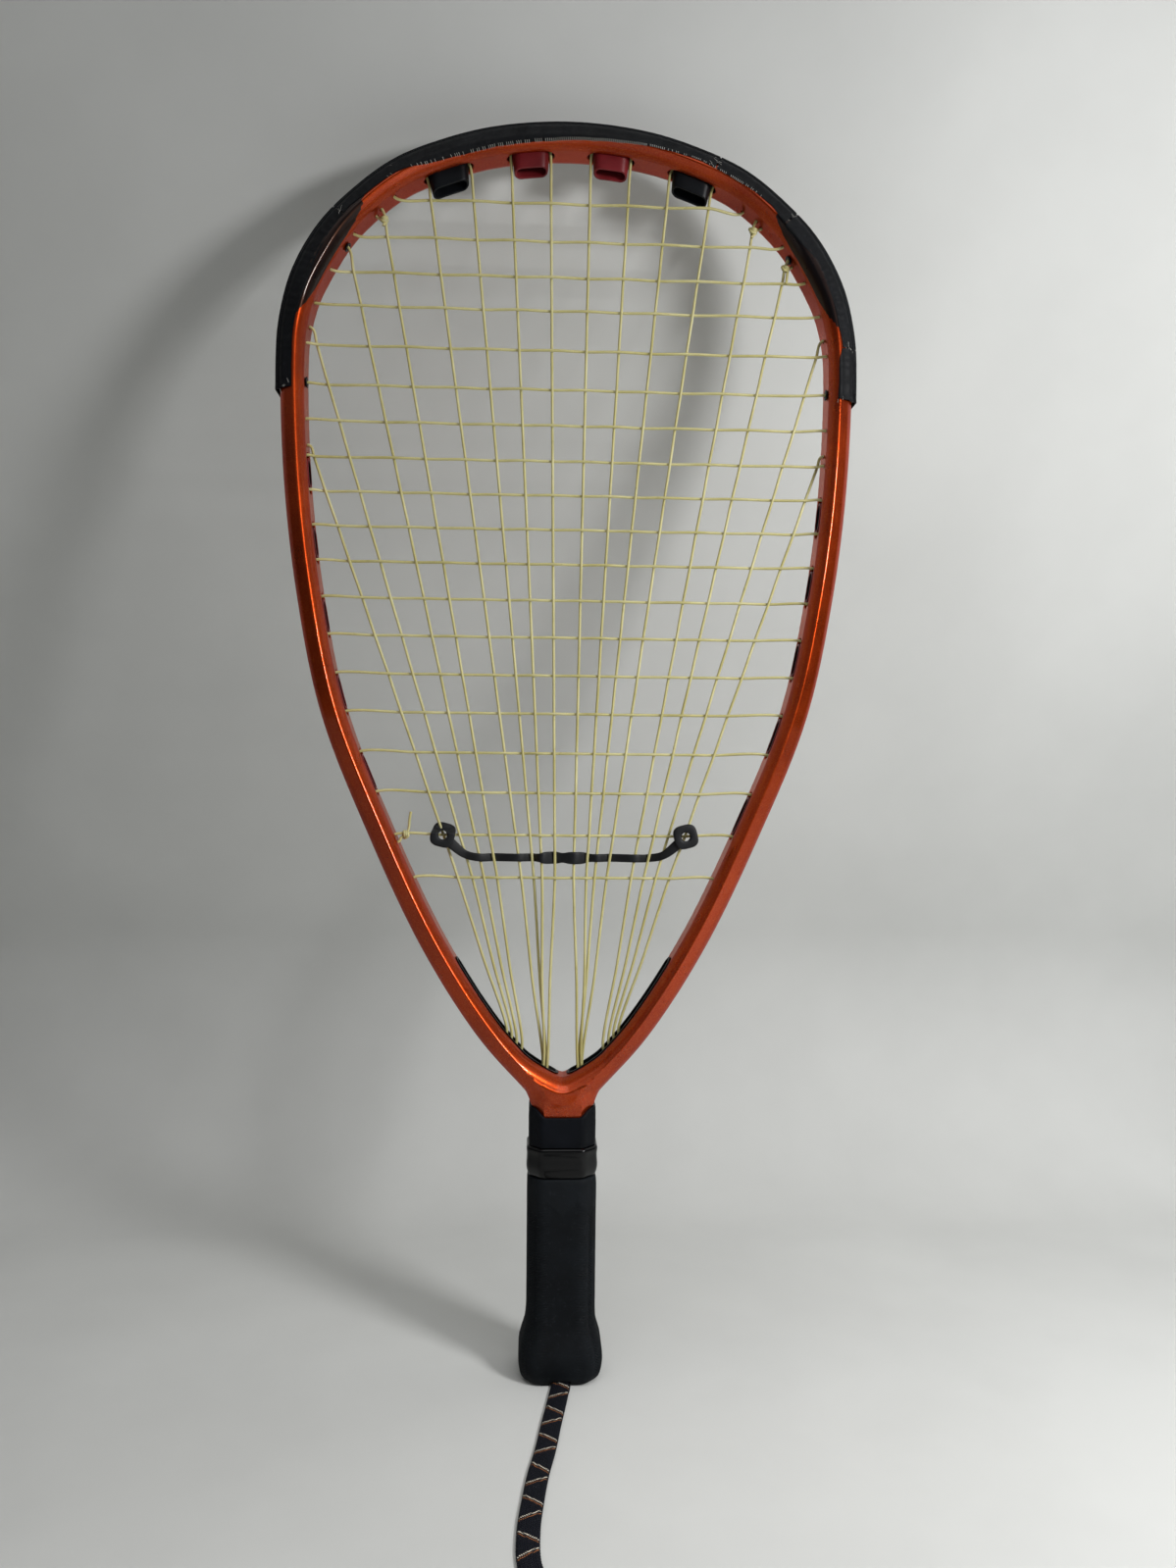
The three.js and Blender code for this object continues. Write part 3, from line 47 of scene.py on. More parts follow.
FOCAL_PIXELS, PICTURE_HEIGHT, SENSOR = 1208, 1599, 36
CAMERA_AT = (-0.0148, -0.533, 0.264)
camera_data = bpy.data.cameras.new("camera")
camera_data.sensor_fit = "VERTICAL"
camera_data.sensor_height = SENSOR
camera_data.lens = FOCAL_PIXELS / PICTURE_HEIGHT * SENSOR
camera_data.clip_start = 0.01
camera = bpy.data.objects.new("camera", camera_data)
SCENE.collection.objects.link(camera)
yaw, roll = math.radians(2.7), math.radians(0.54)
ahead = Vector((math.sin(yaw), math.cos(yaw), 0))
level = Vector((math.cos(yaw), -math.sin(yaw), 0))
upright = Vector((0, 0, 1))
right_way = level * math.cos(roll) + upright * math.sin(roll)
up_way = upright * math.cos(roll) - level * math.sin(roll)
turn = Matrix((right_way, up_way, -ahead)).transposed().to_4x4()
camera.matrix_world = Matrix.Translation(CAMERA_AT) @ turn
SCENE.camera = camera

# ---------------------------------------------------------------- sizes, in millimetres

TOP, WIDEST, THROAT = 556.7, 450.0, 126.6
HALF_WIDE, THROAT_HALF = 127.4, 15.9
LENGTH = 558.8
# The outline from its widest place to the tip and to the throat: shares of the width and of the height
HEAD_SHARES = [(0.258, 0.9716), (0.4447, 0.9097), (0.6071, 0.825), (0.7426, 0.7017),
               (0.8617, 0.552), (0.9499, 0.36), (0.9906, 0.1657), (1, 0)]
ARM_SHARES = [(0.9837, 0.842), (0.9283, 0.6806), (0.8291, 0.519), (0.6437, 0.3575),
              (0.4198, 0.196), (0.1939, 0.0747), (0, 0), (-0.0996, -0.0392)]
SECTION = 10.5
HALF_DEEP = 11
INNER_FLAT = 4.8
RIDGE = 6.6
RAMP_REACH = 3.7
# The hoop is a little wider across its shoulders
SHOULDER_AT, SHOULDER_SPREAD, SHOULDER_GROWTH = 135, 24, 1.7
STRING, CAD_STRING = 0.63, 0.62
LANE = 2
MOUTH = 1
# Where the mains and crosses leave the hoop and where the mains pass the last cross
MAIN_TOP_SHARES = [0.0776, 0.231, 0.3858, 0.5474, 0.7214, 0.8521]
MAIN_SIDE_SHARES = [0.834, 0.74]
MAIN_LOW_SHARES = [0.063, 0.1488, 0.2041, 0.2881, 0.4503, 0.538, 0.6162, 0.7116]
CROSS_SHARES = [0.939, 0.9085, 0.8797, 0.8527, 0.8207, 0.7892, 0.7604, 0.7317, 0.7042, 0.6766,
                0.6487, 0.6197, 0.5898, 0.5592, 0.5285, 0.4966, 0.4647, 0.4307, 0.3966]
TIE_SHIFT, TIE_ROW = 3.4, 17
NEAR_WALL = 6
PORT_HALF, SLOT_HALF_HIGH = 4.2, 4.2
SHAFT_HALF, SHAFT_DEEP, SHAFT_BEVEL, SHAFT_FOOT = 13.2, 11.2, 5, 8
GRIP_TOP, COLLAR_HIGH, SEAT_GAP = 90, 13.7, 0.3
# Half width, half depth and bevel inside the grip, the collar and the tape
BORE = 13.5, 11.5, 5

# ---------------------------------------------------------------- the hoop's outline

def centripetal(points, samples):
    """A smooth line through the points."""
    points = np.asarray(points, float)
    rows = []
    for k in range(len(points) - 1):
        p1, p2 = points[k], points[k + 1]
        p0 = points[k - 1] if k else 2 * p1 - p2
        p3 = points[k + 2] if k + 2 < len(points) else 2 * p2 - p1
        d0, d1, d2 = (max(np.sum((b - a) ** 2) ** 0.25, 1e-4) for a, b in ((p0, p1), (p1, p2), (p2, p3)))
        t1 = ((p1 - p0) / d0 - (p2 - p0) / (d0 + d1) + (p2 - p1) / d1) * d1
        t2 = ((p2 - p1) / d1 - (p3 - p1) / (d1 + d2) + (p3 - p2) / d2) * d1
        t = np.linspace(0, 1, samples, endpoint=False)[:, None]
        rows.append(p1 + t1 * t + (3 * (p2 - p1) - 2 * t1 - t2) * t ** 2 + (2 * (p1 - p2) + t1 + t2) * t ** 3)
    return np.concatenate(rows + [points[-1:]])


def run_of(path):
    """Length along a path, at each of its points."""
    return np.concatenate([[0], np.cumsum(np.linalg.norm(np.diff(path, axis=0), axis=1))])


def resampled(path, step):
    """The same line with even steps."""
    path = np.asarray(path, float)
    run = run_of(path)
    at = np.linspace(0, run[-1], max(2, int(round(run[-1] / step)) + 1))
    return np.stack([np.interp(at, run, path[:, i]) for i in range(path.shape[1])], axis=1)


def outline_line():
    half = [(HALF_WIDE * w, WIDEST + (TOP - WIDEST) * h) for w, h in HEAD_SHARES]
    half += [(THROAT_HALF + (HALF_WIDE - THROAT_HALF) * w, THROAT + (WIDEST - THROAT) * h) for w, h in ARM_SHARES]
    return centripetal([(-x, z) for x, z in half[::-1]] + [(0, TOP)] + half, 60)


OUTLINE = outline_line()
OUTLINE_RUN = run_of(OUTLINE)
HALF_RUN = OUTLINE_RUN[-1] / 2
OUTLINE_RUN = OUTLINE_RUN - HALF_RUN
OUTLINE_WAY = np.gradient(OUTLINE, OUTLINE_RUN, axis=0)
OUTLINE_WAY /= np.linalg.norm(OUTLINE_WAY, axis=1)[:, None]


def shoulder_growth(along):
    return SHOULDER_GROWTH * np.exp(-((np.abs(along) - SHOULDER_AT) / SHOULDER_SPREAD) ** 2)


def place(along, inward, deep=0.0):
    """Points of the hoop: along it from the head tip, inward of its outer wall and back from the strings."""
    along, inward, deep = np.broadcast_arrays(*(np.asarray(v, float) for v in (along, inward, deep)))
    inward = inward + shoulder_growth(along) * np.clip(inward / SECTION, 0, 1)
    x, z = (np.interp(along, OUTLINE_RUN, OUTLINE[:, i]) for i in (0, 1))
    wx, wz = (np.interp(along, OUTLINE_RUN, OUTLINE_WAY[:, i]) for i in (0, 1))
    size = np.hypot(wx, wz)
    return np.stack([x + wz / size * inward, deep, z - wx / size * inward], axis=-1)


def face_at(along, inward):
    """The same points seen from the front: across and up."""
    return place(along, inward)[..., [0, 2]]


def seek(low, high, reached):
    """Where a condition starts to hold between two values."""
    for _ in range(40):
        middle = (low + high) / 2
        if reached(middle):
            high = middle
        else:
            low = middle
    return (low + high) / 2


def at_height(height, inward=SECTION):
    return seek(0, HALF_RUN, lambda s: place(s, inward)[2] < height)


WIDEST_RUN = at_height(WIDEST, 0)


def at_width(width):
    return seek(0, WIDEST_RUN, lambda s: place(s, SECTION)[0] > width)


# ---------------------------------------------------------------- mesh helpers

def unit(v):
    v = np.asarray(v, float)
    return v / np.maximum(np.linalg.norm(v, axis=-1, keepdims=True), 1e-12)


def eased(share):
    """A share held between 0 and 1, with soft ends."""
    share = np.clip(share, 0, 1)
    return share * share * (3 - 2 * share)


def round_angles(count):
    return np.arange(count) / count * 2 * math.pi


def signed_power(value, power):
    return np.sign(value) * np.abs(value) ** power


def make(name, points, faces, material, uv=None, sharp=0, recalc=True):
    """A mesh object from points in millimetres."""
    mesh = bpy.data.meshes.new(name)
    mesh.from_pydata((np.asarray(points, float) * MM).tolist(), [], faces)
    if uv:
        layer = mesh.uv_layers.new(name="lay")
        layer.data.foreach_set("uv", np.asarray(uv, np.float32).ravel())
    if recalc:
        work = bmesh.new()
        work.from_mesh(mesh)
        bmesh.ops.recalc_face_normals(work, faces=work.faces)
        work.to_mesh(mesh)
        work.free()
    if material:
        mesh.materials.append(material)
    mesh.shade_smooth()
    if sharp:
        mesh.set_sharp_from_angle(angle=math.radians(sharp))
    obj = bpy.data.objects.new(name, mesh)
    SCENE.collection.objects.link(obj)
    return obj


def settle(obj, node_name):
    """Make a piece ride on the racket, in place of its CAD node."""
    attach(obj, "root")
    if node_name:
        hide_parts(node_name)
    return obj


def piece(name, shape, look, node_name, sharp=50):
    """A piece of the racket from its points, faces and lay. Its look is a material with a slot; the slot is not used.
    """
    points, faces, uv = shape
    material, slot = look
    return settle(make(name, points, faces, material, uv, sharp), node_name)


def cut_out(obj, cutter, material, sharp):
    """Cut one object out of another."""
    trim = obj.modifiers.new("trim", "BOOLEAN")
    trim.operation, trim.solver, trim.object = "DIFFERENCE", "MANIFOLD", cutter
    graph = bpy.context.evaluated_depsgraph_get()
    mesh = bpy.data.meshes.new_from_object(obj.evaluated_get(graph))
    obj.modifiers.clear()
    obj.data = mesh
    bpy.data.objects.remove(cutter)
    mesh.materials.clear()
    mesh.materials.append(material)
    mesh.shade_smooth()
    mesh.set_sharp_from_angle(angle=math.radians(sharp))
    return mesh


def mark_points(mesh, name, values):
    """A value that the mesh carries at its points, for its material."""
    layer = mesh.attributes.new(name, "FLOAT", "POINT")
    layer.data.foreach_set("value", np.asarray(values, np.float32))


def joined(shapes):
    """Several bodies as the points, faces and lay of one mesh."""
    points, faces, uv, count = [], [], [], 0
    for more_points, more_faces, more_uv in shapes:
        points.append(more_points)
        faces += [[i + count for i in face] for face in more_faces]
        uv += more_uv
        count += len(more_points)
    return np.concatenate(points), faces, uv


def loft(rings, looped=False, run=None, turns=None):
    """Points, faces and lay of the surface over a row of closed rings: its run along and its turn round."""
    rings = np.asarray(rings, float)
    rows, count = rings.shape[:2]
    if run is None:
        run = run_of(rings.mean(axis=1))
    if looped and len(run) == rows:
        run = np.append(run, run[-1] + np.linalg.norm(rings[0].mean(axis=0) - rings[-1].mean(axis=0)))
    turns = run_of(np.vstack([rings[0], rings[0][:1]])) if turns is None else np.append(turns, turns[0])
    faces, uv = [], []
    for r in range(rows if looped else rows - 1):
        a, b = r * count, ((r + 1) % rows) * count
        for i in range(count):
            j = (i + 1) % count
            faces.append([a + i, a + j, b + j, b + i])
            uv += [(run[r], turns[i]), (run[r], turns[i + 1]), (run[r + 1], turns[i + 1]), (run[r + 1], turns[i])]
    if not looped:
        for row, order in ((0, range(count - 1, -1, -1)), (rows - 1, range(count))):
            faces.append([row * count + i for i in order])
            uv += [(run[row], turns[i]) for i in order]
    return rings.reshape(-1, 3), faces, uv


def frames_along(path, start=None):
    """Two steady cross directions at each point of a path."""
    way = unit(np.gradient(path, axis=0))
    if start is None:
        start = (0, 1, 0) if abs(way[0][1]) < 0.9 else (1, 0, 0)
    across = []
    last = np.asarray(start, float)
    for w in way:
        last = unit(last - w * (last @ w))
        across.append(last)
    across = np.array(across)
    return across, np.cross(way, across)


def swept(path, across, other, a, b):
    """Rings along a path, from coordinates in its two cross directions."""
    return path[:, None] + a[..., None] * across[:, None] + b[..., None] * other[:, None]


def tube(path, radius, sides):
    """A round tube along a path; the radius may vary."""
    path = np.asarray(path, float)
    radius = np.broadcast_to(np.asarray(radius, float), len(path))[:, None]
    angles = round_angles(sides)
    rings = swept(path, *frames_along(path), radius * np.cos(angles), radius * np.sin(angles))
    return loft(rings, run=run_of(path))


def octagon(half_wide, half_deep, bevel, arc, steps=3, side_steps=1):
    """An octagon with softened corners, as [x, y] points."""
    wide, deep = half_wide - bevel, half_deep - bevel
    quarter = [(half_wide, deep), (wide, half_deep), (-wide, half_deep), (-half_wide, deep)]
    corners = np.array(quarter + [(-x, -y) for x, y in quarter])
    ring = []
    for k in range(8):
        before, here, after = corners[k - 1], corners[k], corners[(k + 1) % 8]
        a, b = here + unit(before - here) * arc, here + unit(after - here) * arc
        for t in np.linspace(0, 1, steps + 1):
            ring.append((1 - t) ** 2 * a + 2 * t * (1 - t) * here + t ** 2 * b)
        c = after + unit(here - after) * arc
        for t in np.linspace(0, 1, side_steps + 1)[1:-1]:
            ring.append(b + (c - b) * t)
    return np.array(ring)


def raised(ring, height):
    return np.column_stack([ring, np.full(len(ring), height)])


# ---------------------------------------------------------------- materials


def colour(text):
    """A linear colour from an sRGB hex code."""
    parts = [int(text[i:i + 2], 16) / 255 for i in (0, 2, 4)]
    return [p / 12.92 if p <= 0.04045 else ((p + 0.055) / 1.055) ** 2.4 for p in parts] + [1.0]


class Net:
    """Short words for the shader nodes of a tree."""

    def __init__(self, tree):
        self.tree = tree
        self.seat = self.node("TexCoord").outputs

    def give(self, target, sockets):
        """Set a node's inputs: another node's output is linked, and a text is a colour's hex code."""
        for key, value in sockets.items():
            if isinstance(value, bpy.types.NodeSocket):
                self.tree.links.new(value, target.inputs[key])
            else:
                target.inputs[key].default_value = colour(value) if isinstance(value, str) else value

    def node(self, kind, sockets=None, **props):
        made = self.tree.nodes.new("ShaderNode" + kind)
        for key, value in props.items():
            setattr(made, key, value)
        self.give(made, sockets or {})
        return made

    def maths(self, operation, a, b=0.0):
        return self.node("Math", {0: a, 1: b, 2: 0.0}, operation=operation).outputs[0]

    def times(self, a, b):
        return self.maths("MULTIPLY", a, b)

    def plus(self, a, b):
        return self.maths("ADD", a, b)

    def minus(self, a, b):
        return self.maths("SUBTRACT", a, b)

    def wavy(self, value, rate):
        return self.maths("SINE", self.times(value, rate))

    def ramp(self, value, low, high, to_low=0.0, to_high=1.0):
        """The value carried from one range to another, clamped."""
        return self.node("MapRange", {0: value, 1: low, 2: high, 3: to_low, 4: to_high}).outputs[0]

    def mix(self, factor, a, b):
        """Colour a where the factor is 0 and b where it is 1."""
        return self.node("Mix", {0: factor, 6: a, 7: b}, data_type="RGBA").outputs[2]

    def noise(self, scale, detail, rough=0.55, distort=0.0, where=None):
        where = self.seat["Object"] if where is None else where
        return self.node("TexNoise", {"Vector": where, "Scale": scale, "Detail": detail, "Roughness": rough,
                                      "Distortion": distort}).outputs[0]

    def mark(self, name):
        return self.node("Attribute", attribute_name=name).outputs["Fac"]

    def lay(self):
        """Millimetres along the piece and round it."""
        split = self.node("SeparateXYZ", {0: self.node("UVMap", uv_map="lay").outputs[0]})
        return split.outputs[0], split.outputs[1]

    def bump(self, height, strength, distance=0.0002, **extra):
        return self.node("Bump", {"Height": height, "Strength": strength, "Distance": distance, **extra}).outputs[0]


class Look(Net):
    """The nodes of a new material."""

    def __init__(self, name):
        self.made = bpy.data.materials.new(name)
        self.made.use_nodes = True
        super().__init__(self.made.node_tree)
        self.shader = self.tree.nodes["Principled BSDF"]

    def finish(self, tone, rough, relief, more=None):
        self.give(self.shader, {"Base Color": tone, "Roughness": rough, "Normal": relief, **(more or {})})
        return self.made


def moulded(name, dark, light, rough, grain, depth, more, dust):
    """A moulded or rubbery surface: drifting tone, fine grain, painted shade on the points marked inside and, if
    asked, dust in its hollows.
    """
    net = Look(name)
    drift, fine = net.noise(60.0, 4), net.noise(grain, 3, 0.7)
    tone = net.mix(net.ramp(drift, 0.35, 0.68), dark, light)
    if dust:
        tone = net.mix(net.ramp(net.noise(420.0, 5, 0.75), 0.58, 0.74, 0, 0.55), tone, dust)
    # Points marked inside take a near-black colour: painted shade for the depth of a tube's bore
    tone = net.mix(net.mark("inside"), tone, "060505")
    gloss = net.ramp(net.plus(net.times(drift, 0.6), net.times(fine, 0.4)), 0.3, 0.7, *rough)
    return net.finish(tone, gloss, net.bump(fine, depth), more)


def copper_paint():
    """Candy copper over a metal flake, with black painted zones and worn, scratched lacquer."""
    net = Look("copper_paint")
    where = net.seat["Object"]
    flake = net.node("TexVoronoi", {"Vector": where, "Scale": 5200.0}).outputs["Color"]
    glint = net.node("SeparateColor", {0: flake}).outputs
    tone = net.mix(net.ramp(net.noise(25.0, 4), 0.3, 0.7), "8A2508", "B03A0D")
    tone = net.mix(net.ramp(glint[0], 0.6, 1.0, 0, 0.3), tone, "E8803C")
    ragged = net.plus(net.mark("black"), net.ramp(net.noise(900.0, 3), 0.3, 0.7, -0.02, 0.02))
    black = net.ramp(ragged, 0.46, 0.54)
    tone = net.mix(black, tone, "0A0C10")
    chips = net.plus(net.noise(330.0, 6, 0.7), net.times(net.mark("edge"), 0.12))
    chipped = net.ramp(chips, 0.815, 0.83)
    tone = net.mix(chipped, tone, "2A1A14")
    metal = net.times(net.ramp(black, 0, 1, 0.82, 0.1), net.ramp(chipped, 0, 1, 1, 0.1))
    drawn = net.node("Mapping", {"Vector": where, "Scale": (900, 900, 60), "Rotation": (0.3, 0.5, 0.2)}).outputs[0]
    scratches = net.ramp(net.noise(1.0, 2, where=drawn), 0.62, 0.7)
    gloss = net.plus(net.ramp(net.noise(140.0, 4), 0.3, 0.7, 0.26, 0.36), net.times(scratches, 0.12))
    relief = net.bump(net.minus(glint[1], net.times(chipped, 3.0)), 0.05, 0.0001)
    return net.finish(tone, gloss, relief, {"Metallic": metal, "Coat Weight": 0.45, "Coat Roughness": 0.08,
                                            "Specular IOR Level": 0.3, "Specular Tint": (1.0, 0.4, 0.2, 1)})


def string_look():
    """Pale yellow nylon string: a faint twist, a waxy body and soiling here and there."""
    net = Look("string")
    run, turn = net.lay()
    twist = net.maths("SINE", net.plus(net.times(run, 5.2), net.times(turn, 9.5)))
    tone = net.mix(net.ramp(net.noise(45.0, 4), 0.35, 0.65), "AFA76C", "C4BE8C")
    tone = net.mix(net.ramp(net.noise(260.0, 5, 0.7), 0.6, 0.72, 0, 0.45), tone, "8C8350")
    return net.finish(tone, 0.38, net.bump(twist, 0.35, 0.00006), {
        "Subsurface Weight": 0.25, "Subsurface Scale": 0.002, "Subsurface Radius": (1.0, 0.85, 0.4)})


def cloth_tape():
    """Black tape: a close weave under a rubbed film, with grey scuffs."""
    net = Look("black_tape")
    run, turn = net.lay()
    weave = net.times(net.wavy(run, 9.0), net.wavy(turn, 9.0))
    creases = net.noise(240.0, 5, 0.65, 0.6)
    tone = net.mix(net.ramp(net.noise(70.0, 4), 0.35, 0.7), "050609", "0C0E12")
    tone = net.mix(net.ramp(net.noise(500.0, 6, 0.75), 0.6, 0.72, 0, 0.35), tone, "3C3F46")
    relief = net.bump(creases, 0.35, 0.0005, Normal=net.bump(weave, 0.25, 0.00005))
    return net.finish(tone, net.ramp(creases, 0.3, 0.7, 0.45, 0.7), relief, {"Specular IOR Level": 0.15})


def lace_look():
    """Woven black lace with pale and brown flecks in small chevrons along it."""
    net = Look("lace")
    run, across = net.lay()
    off = net.maths("ABSOLUTE", across)
    herring = net.wavy(net.plus(run, off), 5.5)
    weave = net.plus(herring, net.times(net.wavy(across, 7.5), 0.6))
    tone = net.mix(net.ramp(weave, -1.2, 1.2), "07080C", "181B26")
    repeat = net.maths("WRAP", run, 21.0)
    dash = net.times(net.ramp(off, 3.7, 4.0, 1, 0), net.ramp(herring, -0.5, 0.1))
    for middle, lean, fleck in ((2.6, 1, "E6DCCB"), (4.0, 1, "9C6440"), (11.6, -1, "E6DCCB"), (13.0, -1, "9C6440")):
        line = net.times(net.minus(repeat, middle), 1.6 * lean)
        thread = net.ramp(net.maths("ABSOLUTE", net.minus(across, line)), 0.55, 0.75, 1, 0)
        tone = net.mix(net.times(thread, dash), tone, fleck)
    return net.finish(tone, 0.85, net.bump(weave, 0.7, 0.0003), {"Specular IOR Level": 0.15})


def paper():
    """The sweep's matt pale paper, seen from its front only, so that the racket's back shows too."""
    net = Look("paper")
    tone = net.mix(net.ramp(net.noise(6.0, 4), 0.35, 0.65), "C9CAC8", "D0D1CF")
    net.finish(tone, 0.75, net.bump(net.noise(900.0, 3), 0.03, 0.0002), {"Specular IOR Level": 0.2})
    back = net.node("NewGeometry").outputs["Backfacing"]
    clear = net.node("BsdfTransparent").outputs[0]
    both = net.node("MixShader", {0: back, 1: net.shader.outputs[0], 2: clear}).outputs[0]
    net.give(net.tree.nodes["Material Output"], {"Surface": both})
    return net.made


def plastic(name, slot, specular, *tones, coat=None, dust=None):
    """A moulded look with its slot."""
    return moulded(name, *tones, {"Specular IOR Level": specular, **(coat or {})}, dust), slot


COPPER = copper_paint(), "copper_paint"
NYLON = string_look(), "string"
TAPE = cloth_tape(), "black_tape"
LACE = lace_look(), "lace"
BLACK = plastic("black_plastic", "black_plastic", 0.2, "07080B", "0F1216", (0.3, 0.48), 1800, 0.12)
RED = plastic("red_plastic", "red_plastic", 0.35, "5C1015", "7E1D23", (0.34, 0.5), 1800, 0.15)
RUBBER = plastic("black_rubber", "black_rubber", 0.14, "090C0F", "12161A", (0.6, 0.8), 2200, 0.35, dust="2B2E33")
BAND = plastic("band_rubber", "black_rubber", 0.3, "0A0C0F", "121418", (0.45, 0.62), 2200, 0.3)
GLOSS = plastic("gloss_rubber", "gloss_rubber", 0.12, "020203", "050607", (0.12, 0.24), 1500, 0.08,
                coat={"Coat Weight": 0.25, "Coat Roughness": 0.1})
WRAP = plastic("handle_tape", "black_tape", 0.1, "05070B", "0B0E14", (0.45, 0.65), 1600, 0.3)
FIBRE = plastic("frayed_thread", "black_tape", 0.5, "B5B3AC", "DAD8D2", (0.7, 0.9), 3000, 0.2)

# ---------------------------------------------------------------- the lanyard

LACE_WIDE, LACE_THICK = 8.5, 1.8
LEAD = [(0, -12.8), (0, -17), (-0.8, -22), (-2.4, -33), (-4.4, -46), (-7.2, -66), (-10, -82),
        (-12, -98), (-13.6, -116), (-13.2, -134), (-9.4, -147), (-8, -153), (-8, -158)]
LOOP = [(-12.7, -173.6), (-12.7, -178), (-16, -190), (-22, -206), (-28, -224), (-32, -243), (-31.5, -262),
        (-24, -278), (-8, -286), (8, -278), (15.5, -262), (16, -243), (12, -224), (6, -206), (0, -190),
        (-3.3, -178), (-3.3, -173.6)]
LACE_HIGH = LACE_THICK / 2 + 0.15
LACE_SIDES = 28
SHARP_LACE = 60


def lace_section():
    """The flat lace across: how far each of its points lies to the side and up."""
    angles = round_angles(LACE_SIDES)
    return LACE_WIDE / 2 * signed_power(np.cos(angles), 0.5), LACE_THICK / 2 * signed_power(np.sin(angles), 0.75)


def lace_strip(name, route, node_name):
    """A flat woven lace lying along a route on the ground."""
    path = resampled(centripetal([(x, y, LACE_HIGH) for x, y in route], 30), 0.8)
    way = unit(np.gradient(path, axis=0))
    side = np.column_stack([-way[:, 1], way[:, 0], np.zeros(len(way))])
    up = np.tile((0.0, 0.0, 1.0), (len(way), 1))
    wide, high = lace_section()
    crown = 0.12 * np.cos(wide / LACE_WIDE * 6 * math.pi) * (np.abs(high) > 0.2)
    lift = (np.abs(high) - 0.1 + crown) * np.sign(high)
    run = run_of(path)
    edge = 1 + 0.012 * np.sin(run * 4.0)
    rings = swept(path, side, up, wide * edge[:, None], lift)
    return piece(name, loft(rings, run=run, turns=wide), LACE, node_name, SHARP_LACE), path * MM


def wrist_knot():
    """A flat lace knotted on itself: strands wound over each other round a core."""
    t = np.linspace(0, 2 * math.pi, 60)
    path = (-8, -165.8, 4.6) + np.column_stack([5.2 * np.sin(t) + 2.6 * np.sin(2 * t),
                                                5.3 * np.cos(t) - 1.9 * np.cos(2 * t), 1.9 * np.sin(3 * t)])
    angles = round_angles(20)
    wide, high = 3.0 * signed_power(np.cos(angles), 0.6), 1.5 * np.sin(angles)
    rings = swept(path, *frames_along(path, (0, 0, 1)), high, wide)
    rings[:, :, 2] = np.clip(rings[:, :, 2], 0.25, 8.9)
    rings[:, :, 0] = np.clip(rings[:, :, 0], -17.4, 1.4)
    core = []
    for t in np.linspace(0, 1, 24):
        grow = max(0.05, math.sin(math.pi * min(max(t, 0.02), 0.98))) ** 0.45
        ring = octagon(6.3 * grow, 3.4 * grow, 1.8 * grow, 0.8 * grow)
        core.append(np.column_stack([ring[:, 0] - 8, np.full(len(ring), -158.6 - 14.4 * t), ring[:, 1] + 4.4]))
    shapes = [loft(rings[:-1], looped=True, run=run_of(path), turns=wide), loft(core)]
    return piece("lanyard_knot_wound", joined(shapes), LACE, "lanyard_knot", SHARP_LACE)


lead, lead_path = lace_strip("lanyard_lead_woven", LEAD, "lanyard_lead")
loop, loop_path = lace_strip("lanyard_loop_woven", LOOP, "lanyard_loop")
knot = wrist_knot()

# ---------------------------------------------------------------- strings

MAIN_AT = [at_width(share * (HALF_WIDE - SECTION)) for share in MAIN_TOP_SHARES]
MAIN_AT += [at_height(share * LENGTH) for share in MAIN_SIDE_SHARES]
CROSS_HIGH = [share * LENGTH for share in CROSS_SHARES]
CROSS_AT = [at_height(high) for high in CROSS_HIGH]
LAST_HIGH = CROSS_HIGH[-1]
LAST_WIDE = place(CROSS_AT[-1], SECTION)[0]
SLOT_HIGH, SLOT_END_HALF = 59.4, 5.6
SLOT_FROM = at_height(THROAT + SLOT_HIGH)
SLOT_TO = seek(SLOT_FROM, HALF_RUN, lambda s: place(s, SECTION)[0] < SLOT_END_HALF)
# The mains end in two bundles a side: the inner one's pairs lie before and behind one another
INNER_BUNDLE = SLOT_TO - 4.1
OUTER_BUNDLE = SLOT_TO - 0.330891964 * (SLOT_TO - SLOT_FROM)
FEET = [(INNER_BUNDLE + along, deep) for deep in (-0.85, 0.85) for along in (1.15, -1.15)]
FEET += [(OUTER_BUNDLE + along, 0) for along in (5.25, 1.75, -1.75, -5.25)]
BAR_AT = [INNER_BUNDLE, OUTER_BUNDLE + 3.5, OUTER_BUNDLE - 3.5]
BAR_INWARD, BAR_RADIUS = SECTION - 2.6, 0.8


def main_line(number, side):
    """A main's mouth at the head, its bend below the last cross and its foot."""
    foot, deep = FEET[number]
    top = place(side * MAIN_AT[number], SECTION + MOUTH, 0)
    end = place(side * foot, SECTION, deep)
    fall = (top[2] - LAST_HIGH) / (top[2] - end[2])
    kink = np.array([side * MAIN_LOW_SHARES[number] * LAST_WIDE, deep * fall, LAST_HIGH])
    return top, kink, end


def main_at(number, side, height):
    top, kink, end = main_line(number, side)
    a, b = (top, kink) if height >= kink[2] else (kink, end)
    return a + (b - a) * (a[2] - height) / (a[2] - b[2])


def crossed(row):
    """The mains that a cross passes, from left to right, with the side of each it goes by."""
    wall = place(CROSS_AT[row], SECTION)[0]
    found = []
    for side in (-1, 1):
        for number in range(len(MAIN_AT)):
            at = main_at(number, side, CROSS_HIGH[row])
            if place(MAIN_AT[number], SECTION)[2] > CROSS_HIGH[row] + CAD_STRING and abs(at[0]) < wall:
                parity = 1 if (math.floor(side * (number + 0.5)) + row) % 2 == 0 else -1
                way = -1 if wall - abs(at[0]) < NEAR_WALL else parity
                found.append((at, way, (side, number)))
    return sorted(found, key=lambda item: item[0][0])


MAIN_SWING, CROSS_SWING = 0.76, 0.51
WEAVE = [crossed(row) for row in range(len(CROSS_HIGH))]


